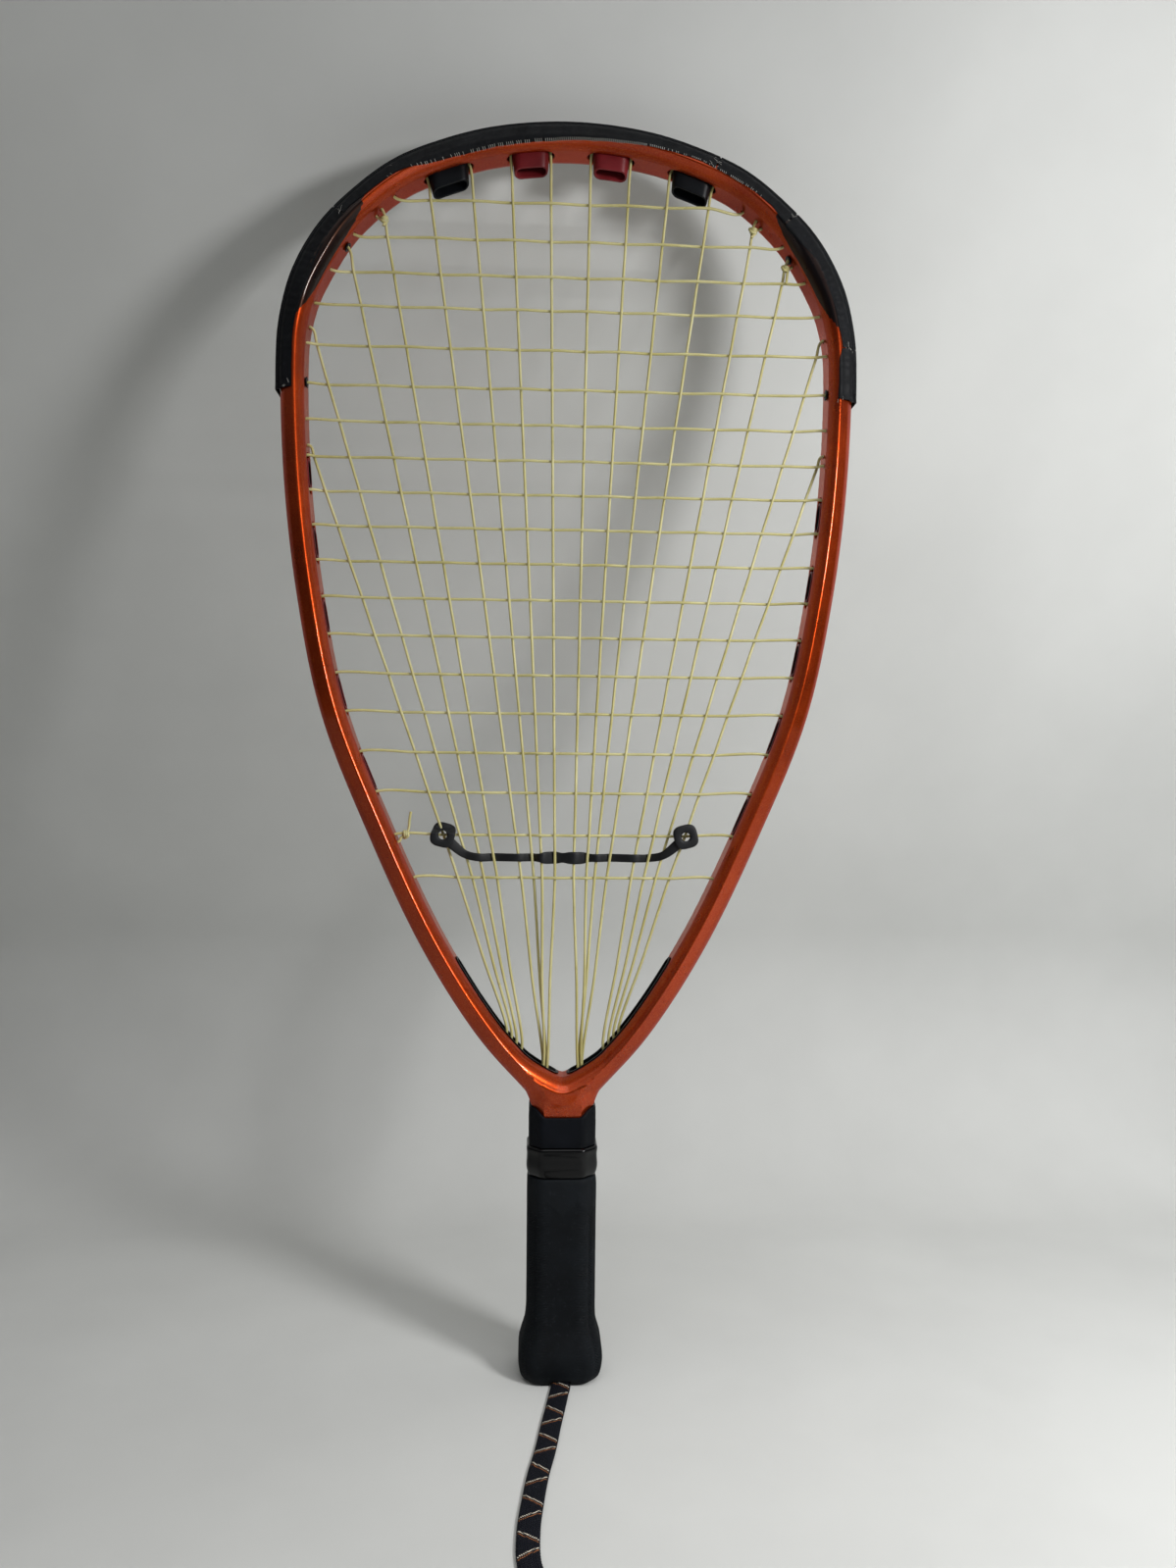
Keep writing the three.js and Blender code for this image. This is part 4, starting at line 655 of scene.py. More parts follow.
def groove_run(start, end, start_lane, end_lane):
    """A string's run in the groove round the hoop."""
    count = max(2, int(abs(end - start) / 5))
    t = np.linspace(0, 1, count + 1)
    lane = start_lane + (end_lane - start_lane) * np.clip(t * 4, 0, 1)
    return list(place(start + (end - start) * t, 1.2, lane))


def bar_turn(side, first, second):
    """The turn round a bar between two feet."""
    middle, deep = (first[0] + second[0]) / 2, first[1]
    swing = BAR_RADIUS + 0.1 + STRING
    out = np.sign(first[0] - middle)
    return [place(side * (middle + out * swing * way * math.cos(a)),
                  BAR_INWARD + 0.5 - (swing + 0.35) * math.sin(a), deep)
            for way, a in ((1, 0), (1, 0.5), (1, 1.0), (1, 1.5708), (-1, 1.0), (-1, 0.5), (-1, 0))]


def main_run(number, side):
    """A main from its mouth at the head to its foot in the throat, waved by the crosses it passes."""
    top, kink, end = main_line(number, side)
    points = [top]
    for row, items in enumerate(WEAVE):
        for at, way, who in items:
            if who == (side, number):
                points.append(at + (0, -way * MAIN_SWING, 0))
    if abs(points[-1][2] - kink[2]) > 1:
        points.append(kink)
    points.append(kink + (end - kink) * 0.5)
    points.append(end)
    return points


def knot_seat(root, onward):
    """The way and the place of a knot on a string."""
    way = unit(onward - root)
    return way, root + way * 2.3


def main_knot(number, side):
    top, kink, _ = main_line(number, side)
    return knot_seat(top, kink)


def cross_points(row):
    return [at + (0, way * CROSS_SWING, 0) for at, way, _ in WEAVE[row]]


def cross_mouth(row, side, lane):
    return place(side * CROSS_AT[row], SECTION + MOUTH, lane)


def cross_knot(row):
    return knot_seat(cross_mouth(row, -1, -LANE), cross_points(row)[0])


def tie_end(along, lane, seat, offset):
    """A string's end from its hole to the string that it is tied to."""
    way, base = seat
    return [place(along, SECTION + MOUTH, lane), base - way * 0.6 + offset, base + way * 0.6 + np.array(offset) * 0.9]


def main_string_path():
    """The main string from one of its ties to the other, up and down through all 16 mains."""
    halves = []
    for side, tie in ((1, 5), (-1, 4)):
        points = []
        for number in range(0, len(MAIN_AT), 2):
            points += main_run(number, side)
            points += bar_turn(side, FEET[number], FEET[number + 1])
            points += main_run(number + 1, side)[::-1]
            if number + 2 < len(MAIN_AT):
                points += groove_run(side * MAIN_AT[number + 1], side * MAIN_AT[number + 2], 0, 0)
        tie_at = side * (MAIN_AT[tie] + TIE_SHIFT)
        points += groove_run(side * MAIN_AT[7], tie_at, 0, LANE)
        points += tie_end(tie_at, LANE, main_knot(tie, side), (0, 1.5, 0))
        halves.append(points)
    return halves[0][::-1] + groove_run(MAIN_AT[0], -MAIN_AT[0], 0, 0) + halves[1]


def cross_string_path():
    """The cross string from its tie at the head down through all crosses to its tie below."""
    start_at = MAIN_AT[4] + TIE_SHIFT
    points = tie_end(start_at, LANE, main_knot(4, 1), (0, 1.5, 0))[::-1]
    points += groove_run(start_at, CROSS_AT[0], LANE, LANE)
    last = len(CROSS_AT) - 1
    for row in range(last + 1):
        side = 1 if row % 2 == 0 else -1
        woven = cross_points(row)
        points.append(cross_mouth(row, side, LANE if row == 0 else -LANE))
        points += woven[::-1] if side > 0 else woven
        points.append(cross_mouth(row, -side, -LANE))
        if row < last:
            points += groove_run(-side * CROSS_AT[row], -side * CROSS_AT[row + 1], -LANE, -LANE)
    tie_at = CROSS_AT[TIE_ROW] + TIE_SHIFT
    points += groove_run(-CROSS_AT[last], -tie_at, -LANE, -LANE)
    return points + tie_end(-tie_at, -LANE, cross_knot(TIE_ROW), (0, 0, -1.5))


def string_piece(name, points, node_name):
    points = np.array(points)
    keep = np.append(True, np.linalg.norm(np.diff(points, axis=0), axis=1) > 0.05)
    path = resampled(centripetal(points[keep], 14), 0.9)
    piece(name, tube(path, STRING, 12), NYLON, node_name, 0)


string_piece("main_string_drawn", main_string_path(), "main_string")
string_piece("cross_string_drawn", cross_string_path(), "cross_string")


def tied_knot(where, seat, tail):
    """A string tied round another: two wraps, a crossing and its cut tail."""
    way, base = seat
    side = unit(np.cross((0, 1, 0), way))
    up = np.cross(way, side)
    t = np.linspace(0, 1, 70)[:, None]
    angle = t * 2.6 * 2 * math.pi
    wraps = base + way * (0.35 + 1.9 * t) + (side * np.cos(angle) + up * np.sin(angle)) * 1.22
    bridge = [wraps[0], base + way * 0.6 + side * 1.75 + up * 0.4, base + way * 1.6 + side * 1.7 - up * 0.6,
              base + way * 2.6 + side * 0.8 - up * 1.3, wraps[-1]]
    end, tail = wraps[-1], np.asarray(tail, float)
    loose = [end, end + way * 0.3 + tail * 0.18 + up * 0.2, end + tail * 0.55, end + tail]
    lines = [wraps, centripetal(bridge, 10), centripetal(loose, 10)]
    shape = joined(tube(line, STRING * 0.96, 10) for line in lines)
    piece(f"string_knot_{where}_tied", shape, NYLON, f"string_knot_{where}")


tied_knot("left_upper", main_knot(4, -1), (-1.5, -1.2, -3.0))
tied_knot("right_upper", main_knot(4, 1), (-2.0, -1.2, -3.0))
tied_knot("right_lower", main_knot(5, 1), (-1.0, -1.0, -6.5))
tied_knot("left_lower", cross_knot(TIE_ROW), (1.5, -0.8, 9.0))


# ---------------------------------------------------------------- the frame

APEX_HIGH, NECK_HIGH, SHOULDER_FOOT = 133.3, 120.6, 127.2
THROAT_TURN = 17.5


def soft_min(a, b, radius):
    h = np.clip(radius - np.abs(a - b), 0, None) / radius
    return np.minimum(a, b) - h * h * radius / 4


def outer_rise(d):
    """Depth of the hoop's outer slope, d inward of the outer wall."""
    return soft_min(5.2 + 2.2 * d, 6.75 + 0.66 * d, 2.6)


def inner_rise(d, reach=RAMP_REACH):
    """Depth of the hoop's rounded inner side, d back from the inner wall."""
    share = np.clip(d / reach, 0, 1)
    rise = (1 - (1 - share) ** 1.3) ** 0.625
    return INNER_FLAT + (HALF_DEEP + 0.05 - INNER_FLAT) * rise + np.clip(d - reach, 0, None)


def inner_line():
    """The hoop's inner wall down its right side, rounded across the bottom of the throat."""
    turn_at = seek(SLOT_FROM, HALF_RUN, lambda s: face_at(s, SECTION)[0] < THROAT_TURN)
    a, d = face_at(turn_at, SECTION), np.array([0, APEX_HIGH])
    way = unit(a - face_at(turn_at - 0.5, SECTION))
    b, c = a + way * 4.5, d + np.array([2.2, 0])
    t = np.linspace(0, 1, 60)[:, None]
    curve = (1 - t) ** 3 * a + 3 * t * (1 - t) ** 2 * b + 3 * t ** 2 * (1 - t) * c + t ** 3 * d
    return turn_at, resampled(curve, 0.3)


TURN_AT, THROAT_CURVE = inner_line()
END_AT = at_height(SHOULDER_FOOT, 0)
LAST_OUT = END_AT - 3
NECK = centripetal([face_at(LAST_OUT, 0), face_at(END_AT, 0), (14.3, 122.6), (13.35, NECK_HIGH - 1.5),
                    (SHAFT_HALF, NECK_HIGH - 6), (SHAFT_HALF, NECK_HIGH - 12)], 12)[12:]


def fill(along):
    """How far the rounded bottom of the throat stands inward of the hoop's own inner wall."""
    rises = []
    for s in np.abs(along):
        base = face_at(s, SECTION)
        inwards = face_at(s, SECTION + 1) - base
        gap = THROAT_CURVE - base
        off = np.abs(gap @ np.array([-inwards[1], inwards[0]]))
        rises.append(max(0, gap[off.argmin()] @ inwards) if s > TURN_AT else 0)
    return np.array(rises)


def stations():
    """Pairs of points across the right half of the frame: on its outer wall and on its inner edge."""
    hoop = np.concatenate([np.arange(0, SLOT_FROM - 10, 2.4), np.arange(SLOT_FROM - 10, TURN_AT, 1.1)])
    outer, inner = list(face_at(hoop, 0)), list(face_at(hoop, SECTION))
    for t in np.linspace(0, 1, 45):
        outer.append(face_at(TURN_AT + (LAST_OUT - TURN_AT) * t, 0))
        inner.append(THROAT_CURVE[int(round((len(THROAT_CURVE) - 1) * t))])
    bottom = len(inner) - 1
    low = [*face_at(np.arange(LAST_OUT + 0.5, END_AT, 0.6), 0), *NECK]
    gap = APEX_HIGH - outer[-1][1]
    outer += low
    inner += [(0, point[1] + gap * max(0, 1 - (k + 1) / len(low))) for k, point in enumerate(low)]
    for high in (100, 90, 60, 30, SHAFT_FOOT):
        outer.append((SHAFT_HALF, high))
        inner.append((0, high))
    return np.array(outer), np.array(inner), bottom


def front_height(d_out, d_in, high):
    """How far the front surface stands from the string plane."""
    blend = eased((high - NECK_HIGH) / 7)
    shaft = np.minimum(SHAFT_DEEP - SHAFT_BEVEL + d_out, SHAFT_DEEP)
    throat = np.clip((152 - high) / 20, 0, 1)
    rising = np.clip(d_out - RIDGE, 0, None) * 0.28 * throat
    edge = (outer_rise(d_out) + rising) * blend + shaft * (1 - blend)
    top = SHAFT_DEEP + (HALF_DEEP + 1.4 * throat - SHAFT_DEEP) * np.clip((high - 117) / 10, 0, 1)
    ramp = inner_rise(d_in, RAMP_REACH + 0.4 * throat)
    return soft_min(soft_min(edge, top, 0.4), ramp, 0.35)


def frame_points():
    outer, inner, bottom = stations()
    spread = np.concatenate([[0, 0.02, 0.04, 0.07, 0.1], np.linspace(0.14, 0.56, 8), [0.6, 0.628, 0.65, 0.672, 0.7],
                             np.linspace(0.74, 0.94, 7), [0.965, 0.982, 0.993, 0.998, 1.0]])
    flat = outer[:, None] + (inner - outer)[:, None] * spread[None, :, None]
    edge = resampled(inner[:bottom + 1], 0.25)
    edge = np.vstack([edge, edge[-60:] * (-1, 1)])
    d_out = np.linalg.norm(flat - outer[:, None], axis=2)
    d_in = np.array([np.sqrt(((row[:, None] - edge) ** 2).sum(axis=2).min(axis=1)) for row in flat])
    d_in[:bottom + 1, -1] = 0
    high = front_height(d_out, d_in, flat[:, :, 1])
    high[:, 0] -= 0.25
    return outer, inner, bottom, flat, high


# The groove round the hoop: places before and behind its middle, and how far inward they lie
GROOVE_WALLS = [(-5.4, -0.08), (-3.9, 0.0), (-3.45, 0.12), (-3.2, 1.9), (-2.6, 2.4), (0, 2.4), (2.6, 2.4),
                (3.2, 1.9), (3.45, 0.12), (3.9, 0.0), (5.4, -0.08)]
INNER_SHARES = (-0.8, -0.4, 0, 0.4, 0.8)


def frame_mesh():
    """The frame uncarved: front, back, grooved outer wall and inner wall of its right half, mirrored."""
    outer, inner, bottom, flat, high = frame_points()
    rows, count = high.shape
    points, faces = [], []
    index = {}

    def put(key, x, y, z):
        index[key] = len(points)
        points.append((x, y, z))

    def face(*keys):
        faces.append([index[key] for key in keys])

    for k in range(rows):
        across = unit(inner[k] - outer[k])
        normal = across
        if k > 0:
            way = outer[min(k + 1, rows - 1)] - outer[k - 1]
            normal = unit(np.array([way[1], -way[0]]))
            normal = normal if normal @ across > 0 else -normal
        fade = np.clip((outer[k][1] - 140) / 8, 0, 1)
        for m, (x, z) in enumerate(flat[k]):
            put(("f", k, m), x, -high[k, m], z)
            put(("b", k, m), x, high[k, m], z)
        for w, (deep, inset) in enumerate(GROOVE_WALLS):
            x, z = outer[k] + normal * inset * (fade if inset > 0 else 1)
            put(("o", k, w), x, deep * (high[k, 0] / 5.75 if abs(deep) > 4 else 1), z)
        if k <= bottom:
            for w, share in enumerate(INNER_SHARES):
                put(("i", k, w), inner[k][0], share * high[k, -1], inner[k][1])
    outside = [("f", 0)] + [("o", w) for w in range(len(GROOVE_WALLS))] + [("b", 0)]
    inside = [("f", count - 1)] + [("i", w) for w in range(len(INNER_SHARES))] + [("b", count - 1)]
    for k in range(rows - 1):
        for m in range(count - 1):
            face(("f", k, m), ("f", k + 1, m), ("f", k + 1, m + 1), ("f", k, m + 1))
            face(("b", k, m), ("b", k, m + 1), ("b", k + 1, m + 1), ("b", k + 1, m))
        for (ka, wa), (kb, wb) in zip(outside, outside[1:]):
            face((ka, k, wa), (kb, k, wb), (kb, k + 1, wb), (ka, k + 1, wa))
        if k < bottom:
            for (ka, wa), (kb, wb) in zip(inside, inside[1:]):
                face((ka, k + 1, wa), (kb, k + 1, wb), (kb, k, wb), (ka, k, wa))
    k = rows - 1
    face(*[("f", k, m) for m in range(count)], *[("b", k, m) for m in range(count - 1, -1, -1)],
         *[("o", k, w) for w in range(len(GROOVE_WALLS) - 1, -1, -1)])
    points = np.array(points)
    points[np.abs(points[:, 0]) < 1e-6, 0] = 0
    both = np.vstack([points, points * (-1, 1, 1)])
    faces += [[i + len(points) for i in face[::-1]] for face in faces]
    obj = make("frame_moulded", both, faces, COPPER[0], recalc=False)
    work = bmesh.new()
    work.from_mesh(obj.data)
    bmesh.ops.remove_doubles(work, verts=[v for v in work.verts if abs(v.co.x) < 2e-6], dist=2e-6)
    bmesh.ops.recalc_face_normals(work, faces=work.faces)
    work.to_mesh(obj.data)
    work.free()
    return obj


def lean_of(side, number):
    """How far a main leans along the hoop for each millimetre inward."""
    root, inside = face_at(MAIN_AT[number], SECTION), face_at(MAIN_AT[number], SECTION + MOUTH)
    inwards = inside - root
    onwards = np.array([-inwards[1], inwards[0]])
    top, kink, _ = main_line(number, 1)
    fall = (kink - top)[[0, 2]]
    return side * (fall @ onwards) / (fall @ inwards)


def port_list():
    """The ports: name, place along the hoop, half length between its strings, reach, lean and look."""
    ports = []
    for label, side, first in (("left_outer", -1, 2), ("left_inner", -1, 0),
                               ("right_inner", 1, 0), ("right_outer", 1, 2)):
        a, b = MAIN_AT[first], MAIN_AT[first + 1]
        lean = (lean_of(side, first) + lean_of(side, first + 1)) / 2
        look = BLACK if first else RED
        ports.append((f"top_port_insert_{label}", side * (a + b) / 2, (b - a) / 2, 7.2, lean, look))
    for label, side, start in (("left", -1, 7), ("right", 1, 8)):
        for i in range(5):
            a, b = CROSS_AT[start + 2 * i], CROSS_AT[start + 2 * i + 1]
            ports.append((f"side_port_insert_{label}_{i + 1}", side * (a + b) / 2, (b - a) / 2, 0.35, 0, RED))
    return ports


PORT_LIST = port_list()


def oblong(half_long, half_high, straight):
    """A ring with two straight sides and round ends."""
    reach = half_long - half_high
    ring = []
    for end in (1, -1):
        for a in np.linspace(-0.5, 0.5, 9) * math.pi:
            ring.append((end * (reach + half_high * math.cos(a)), end * half_high * math.sin(a)))
        for i in range(1, straight):
            ring.append((end * reach * (1 - 2 * i / straight), end * half_high))
    return np.array(ring)


def oblong_rings(at, half_long, half_high, levels, lean=0.0, straight=6, filled=False, slant=0.0):
    """Oblong rings through the hoop at a place along it: each level gives a growth and a depth inward."""
    rings = []
    for grow, inward in levels:
        ring = oblong(half_long + grow, half_high + grow, straight)
        if inward > SECTION + 2:
            inward = inward + slant * (ring[:, 1] / half_high - 0.4)
        if filled and np.max(inward) > SECTION:
            inward = inward + fill(at + ring[:, 0])
        rings.append(place(at + ring[:, 0] + lean * np.clip(inward - SECTION, 0, None), inward, ring[:, 1]))
    return rings


def circle_rings(at, lane, levels, sides=20):
    angles = round_angles(sides)
    return [place(at + radius * np.cos(angles), inward, lane + radius * np.sin(angles)) for radius, inward in levels]


GROMMETS = [("grommet_left_upper", -MAIN_AT[5], 0), ("grommet_left_lower", -CROSS_AT[5], -LANE),
            ("grommet_right_upper", MAIN_AT[5], 0), ("grommet_right_lower", CROSS_AT[5], -LANE)]
HOLE, SEAT, OUT = 1.1, 2.1, 2


def string_holes():
    """Place along and lane of each hole that isn't in a port."""
    holes = [(side * along, 0.0) for side in (-1, 1) for along in MAIN_AT]
    holes += [(side * along, -float(LANE)) for side in (-1, 1) for along in CROSS_AT]
    free = [hole for hole in holes if not any(abs(hole[0] - at) <= span + 0.001 for _, at, span, *_ in PORT_LIST)]
    free = [(a, float(LANE)) if lane != 0 and abs(a - CROSS_AT[0]) < 0.001 else (a, lane) for a, lane in free]
    ties = [(MAIN_AT[5], LANE), (MAIN_AT[4], LANE), (-MAIN_AT[4], LANE), (-CROSS_AT[TIE_ROW], -LANE)]
    return free + [(at + math.copysign(TIE_SHIFT, at), lane) for at, lane in ties]


def slot_middle():
    return (SLOT_FROM + SLOT_TO) / 2, (SLOT_TO - SLOT_FROM) / 2


def frame_cutters():
    """The holes, ports and slots as one body."""
    shapes = []
    levels = [(0.35, -OUT), (0.35, 2.0), (0, 2.4), (0, SECTION - 0.35), (0.35, SECTION), (0.35, SECTION + OUT)]
    for _, at, span, *_ in PORT_LIST:
        shapes.append(loft(oblong_rings(at, span + STRING + HOLE, PORT_HALF, levels)))
    seats = {(round(a, 3), lane) for _, a, lane in GROMMETS}
    for along, lane in string_holes():
        seated = [(HOLE, 7), (SEAT, 7), (SEAT, SECTION + OUT)]
        rest = seated if (round(along, 3), lane) in seats else [(HOLE, SECTION + OUT)]
        shapes.append(loft(circle_rings(along, lane, [(HOLE, -OUT)] + rest)))
    levels = [(0, SECTION - 6.6), (0, SECTION - 0.4), (0.25, SECTION), (0.25, SECTION + 7)]
    middle, half = slot_middle()
    for side in (-1, 1):
        shapes.append(loft(oblong_rings(side * middle, half, SLOT_HALF_HIGH, levels, straight=40)))
    points, faces, _ = joined(shapes)
    return make("cutters", points, faces, None)


# How far inward the black paint reaches at places along the hoop
BLACK_EDGE = [(100, -2), (102, 5.5), (104, 7.4), (108, 8.8), (113, 9.7), (120, 10.2),
              (150, 10.2), (157, 9.6), (162, 8.6), (166, 7.0), (170, 4.6), (172, -2)]


def frame_paint(mesh):
    """Marks on the frame's points: where the black paint lies and where edges wear."""
    points = np.array([v.co for v in mesh.vertices]) / MM
    line, run = OUTLINE[::2], OUTLINE_RUN[::2]
    inward, along = np.empty(len(points)), np.empty(len(points))
    for a in range(0, len(points), 4000):
        gap = points[a:a + 4000, None, [0, 2]] - line[None]
        far = (gap ** 2).sum(axis=2)
        best = far.argmin(axis=1)
        inward[a:a + 4000] = np.sqrt(far.min(axis=1))
        along[a:a + 4000] = run[best]
    inward = inward / (1 + shoulder_growth(along) / SECTION)
    wide, deep, high = np.abs(points[:, 0]), np.abs(points[:, 1]), points[:, 2]
    limit = np.interp(np.abs(along), *np.array(BLACK_EDGE).T)
    black = np.clip(0.5 + (limit - inward) * 1.5, 0, 1)
    # The throat is black, with tongues that run up beside its outer walls
    tongue = 7.7 + np.clip(high - 117, 0, None) * 1.35
    black = np.maximum(black, np.clip(0.5 + (wide - tongue) * 1.2, 0, 1) * np.clip((126 - high) / 1.5, 0, 1))
    mark_points(mesh, "black", np.where(high < 116.5, 1.0, black))
    mark_points(mesh, "edge", np.clip(1 - np.abs(inward - RIDGE) / 1.2, 0, 1) * (deep > 10.3))


def carve_frame():
    material, slot = COPPER
    obj = frame_mesh()
    frame_paint(cut_out(obj, frame_cutters(), material, 32))
    settle(obj, "frame")


carve_frame()

# ---------------------------------------------------------------- inserts, grommets and troughs


def port_insert(name, at, span, reach, lean, look):
    """An oblong tube through its port: the head's stand out with a flat mouth, the sides' lie nearly flush."""
    far = reach > 3
    mouth = SECTION + reach
    shrink, wall, room = (0.4, 0.95, 0.8) if far else (0.1, 0.8, 1.0)
    outer = [(0, 3), (0, SECTION - 0.4), (-shrink / 4, SECTION + 0.2), (-shrink, mouth - 0.25),
             (-shrink - 0.06, mouth - 0.08), (-shrink - 0.2, mouth)]
    inner = [(-shrink - wall + 0.15, mouth), (-shrink - wall, mouth - 0.12), (-shrink / 4 - wall, SECTION - 0.2),
             (-wall - 0.1, 5), (-wall, 3)]
    rings = oblong_rings(at, span - room, PORT_HALF - 0.3, outer + inner, lean, slant=1.0 if far else 0.0)
    obj = piece(name + "_lipped", loft(rings, looped=True), look, name, 40)
    # The tube's inner rings are marked inside, and its material paints them near black: painted shade for the deep
    # bore
    shown = len(outer) + 2
    mark_points(obj.data, "inside", np.repeat([0] * shown + [1] * (len(rings) - shown), len(rings[0])))


def grommet(name, along, lane):
    root, face = SECTION - 3, SECTION + 0.45
    levels = [(1.6, root), (1.6, face - 0.1), (1.75, face), (2.35, face), (2.5, face + 0.12), (2.5, face + 0.3),
              (2.3, face + 0.42), (1.4, face + 0.5), (1.05, face + 0.35), (0.95, face), (0.95, root)]
    piece(name + "_collared", loft(circle_rings(along, lane, levels, 32), looped=True), BLACK, name)


def throat_insert(side, name):
    """A long trough in its slot, with rounded bars that the strings turn round."""
    middle, half = slot_middle()
    high, wall = SLOT_HALF_HIGH - 0.3, 0.8
    bottom, rim = SECTION - 6.1, SECTION + 0.6
    levels = [(-0.3, bottom), (0, bottom + 0.3), (0, rim - 0.35), (0.35, rim - 0.25), (0.4, rim - 0.05), (0.2, rim),
              (-wall + 0.15, rim), (-wall, rim - 0.15), (-wall, bottom + wall + 0.2), (-wall - 0.2, bottom + wall)]
    shapes = [loft(oblong_rings(side * middle, half - 0.3, high, levels, straight=40, filled=True))]
    swell = np.array([1.5, 1.15, 1.0, 1.0, 1.0, 1.0, 1.0, 1.15, 1.5])
    deep = np.linspace(-high + wall / 2, high - wall / 2, len(swell))
    shapes += [tube(place(side * along, BAR_INWARD, deep), swell * BAR_RADIUS, 20) for along in BAR_AT]
    piece(name + "_barred", joined(shapes), BLACK, name, 40)


for port in PORT_LIST:
    port_insert(*port)
for fitting in GROMMETS:
    grommet(*fitting)
throat_insert(-1, "throat_insert_left")
throat_insert(1, "throat_insert_right")

# ---------------------------------------------------------------- head guard and its tapes

GUARD_REACH = at_height(440, 0)
TAPE_REACH = at_height(436, 0)
SEAMS = [-1, -0.57, 0.34, 0.55, 0.88, 1]
TAPE_NAMES = ["head_tape_" + part for part in ("left", "top", "right_upper", "right_lower", "right_end")]
SEAM_GAP = 0.2


def slope(d):
    """Height of the hoop's front at a distance inward of its outer wall."""
    d = np.asarray(d, float)
    return soft_min(soft_min(outer_rise(d), HALF_DEEP, 0.5), inner_rise(SECTION - d), 0.5)


def head_guard():
    """The guard: a channel over the head's outer wall."""
    outer = [(d, slope(d) + over) for d, over in ((3.1, 0.45), (2.6, 0.95), (0.6, 1.1))]
    outer += [(-0.7, 7.3), (-1.3, 6.3), (-1.3, 3)]
    inner = [(-0.3, 3), (-0.3, 5.8), (0.2, 6.65), (1.0, slope(1.0) + 0.25), (2.9, slope(2.9) + 0.25)]
    ring = np.array([(a, -b) for a, b in outer] + outer[::-1] + inner + [(a, -b) for a, b in inner[::-1]], float)
    steps = np.arange(-GUARD_REACH, GUARD_REACH + 0.01, 3.0)
    rings = [place(s, *ring.T) for s in steps]
    piece("head_guard_channel", loft(rings, run=steps), BLACK, "head_guard", 40)


def wave(value, seed, scale):
    """A smooth wandering value between -1 and 1."""
    out = np.zeros_like(np.asarray(value, float))
    for k in range(4):
        angle = (seed * 12.9898 + k * 78.233) % (2 * math.pi)
        out = out + math.sin(seed * 3.1 + k) * np.sin(np.asarray(value) * scale * 1.7 ** k + angle) / 1.4 ** k
    return out / 2.2


# How far inward the tape reaches on the front at places along the hoop
TOE_FRONT = [(-210, 6.0), (-175, 6.0), (-164, 6.4), (-153, 7.4), (-138, 6.2), (-122, 5.5), (-110, 4.5),
             (-102, 5.5), (-83, 6.1), (-68, 8.4), (-50, 9.0), (-10, 8.6), (20, 7.8), (49, 6.3), (61, 5.4),
             (67, 6.4), (79, 6.9), (90, 6.2), (100, 5.6), (112, 8.0), (120, 7.6), (130, 5.8), (168, 5.6),
             (176, 5.1), (182, 7.1), (210, 7.8)]
PINK = 0.95


def toe_of(s, front=True):
    """Where the tape's inner edge lies, pinked and wandering."""
    pink = 0.16 * (2 * abs((s / PINK) % 1 - 0.5) - 0.5)
    base = np.interp(s, *np.array(TOE_FRONT).T) if front else 6.1 + 0.45 * float(wave(s, 7, 0.06))
    return base + pink + 0.15 * float(wave(s, 4, 0.21))


def head_tape(index, start, end):
    """One length of cloth tape folded over the guard, creased, with pinked edges."""
    steps = np.arange(start + 0.1, end - 0.1, 0.4)
    rings = []
    for s in steps:
        near_end = min(s - start, end - s)
        lift = 0.25 * math.exp(-near_end / 1.6) * (1 if index in (0, 2, 4) else 0.4)
        flared = (index == 0 and s - start < 8) or (index == 4 and end - s < 8)
        flare = 1.4 * math.exp(-near_end / 2.2) if flared else 0
        sides, under = [], []
        for sign in (-1, 1):
            toe = toe_of(s, sign < 0)
            crease = 0.12 * float(wave(s, 11 + index + sign, 0.55)) + 0.07 * float(wave(s, 23 + index, 1.9))
            line = []
            for d in (toe, toe - 0.45, *np.linspace(toe - 1, -0.3, 9)):
                off = np.interp(d, (-0.3, 0.9, 2.2, 3.2, 4.2, 5.2), (1.75, 1.55, 1.3, 0.95, 0.62, 0.48))
                off += lift - (0.12 if d == toe else 0) + (crease if d < toe - 0.4 else 0)
                line.append((d - 0.35 * (off > 0.9), sign * (slope(max(d, 0)) + off)))
            line += [(-1.35 - flare * 0.2, sign * (6.95 + crease + flare * 0.3)),
                     (-1.86 - flare * 0.1, sign * (6.2 + 0.5 * crease)),
                     (-2.05, sign * 4.6), (-2.08 + 0.25 * abs(crease), sign * 2.4)]
            sides.append(line)
            low = [(d, sign * (slope(max(d, 0)) + gap)) for d, gap in (
                (toe - 0.02, 0.1), (toe * 0.5 + 2, 0.15), (min(4, toe - 0.5), 0.25), (2.2, 1.0), (0.2, 1.15))]
            under.append(low + [(-1.2, sign * 6.5), (-1.62, sign * 5.4), (-1.62, sign * 2)])
        outer = [(max(a, -2.1 - flare * 0.02), b) for a, b in sides[0] + [(-2.08, 0.0)] + sides[1][::-1]]
        ring = np.array(outer + under[1] + under[0][::-1])
        rings.append(place(s, *ring.T))
    name = TAPE_NAMES[index]
    piece(name + "_creased", loft(rings, run=steps), TAPE, name)


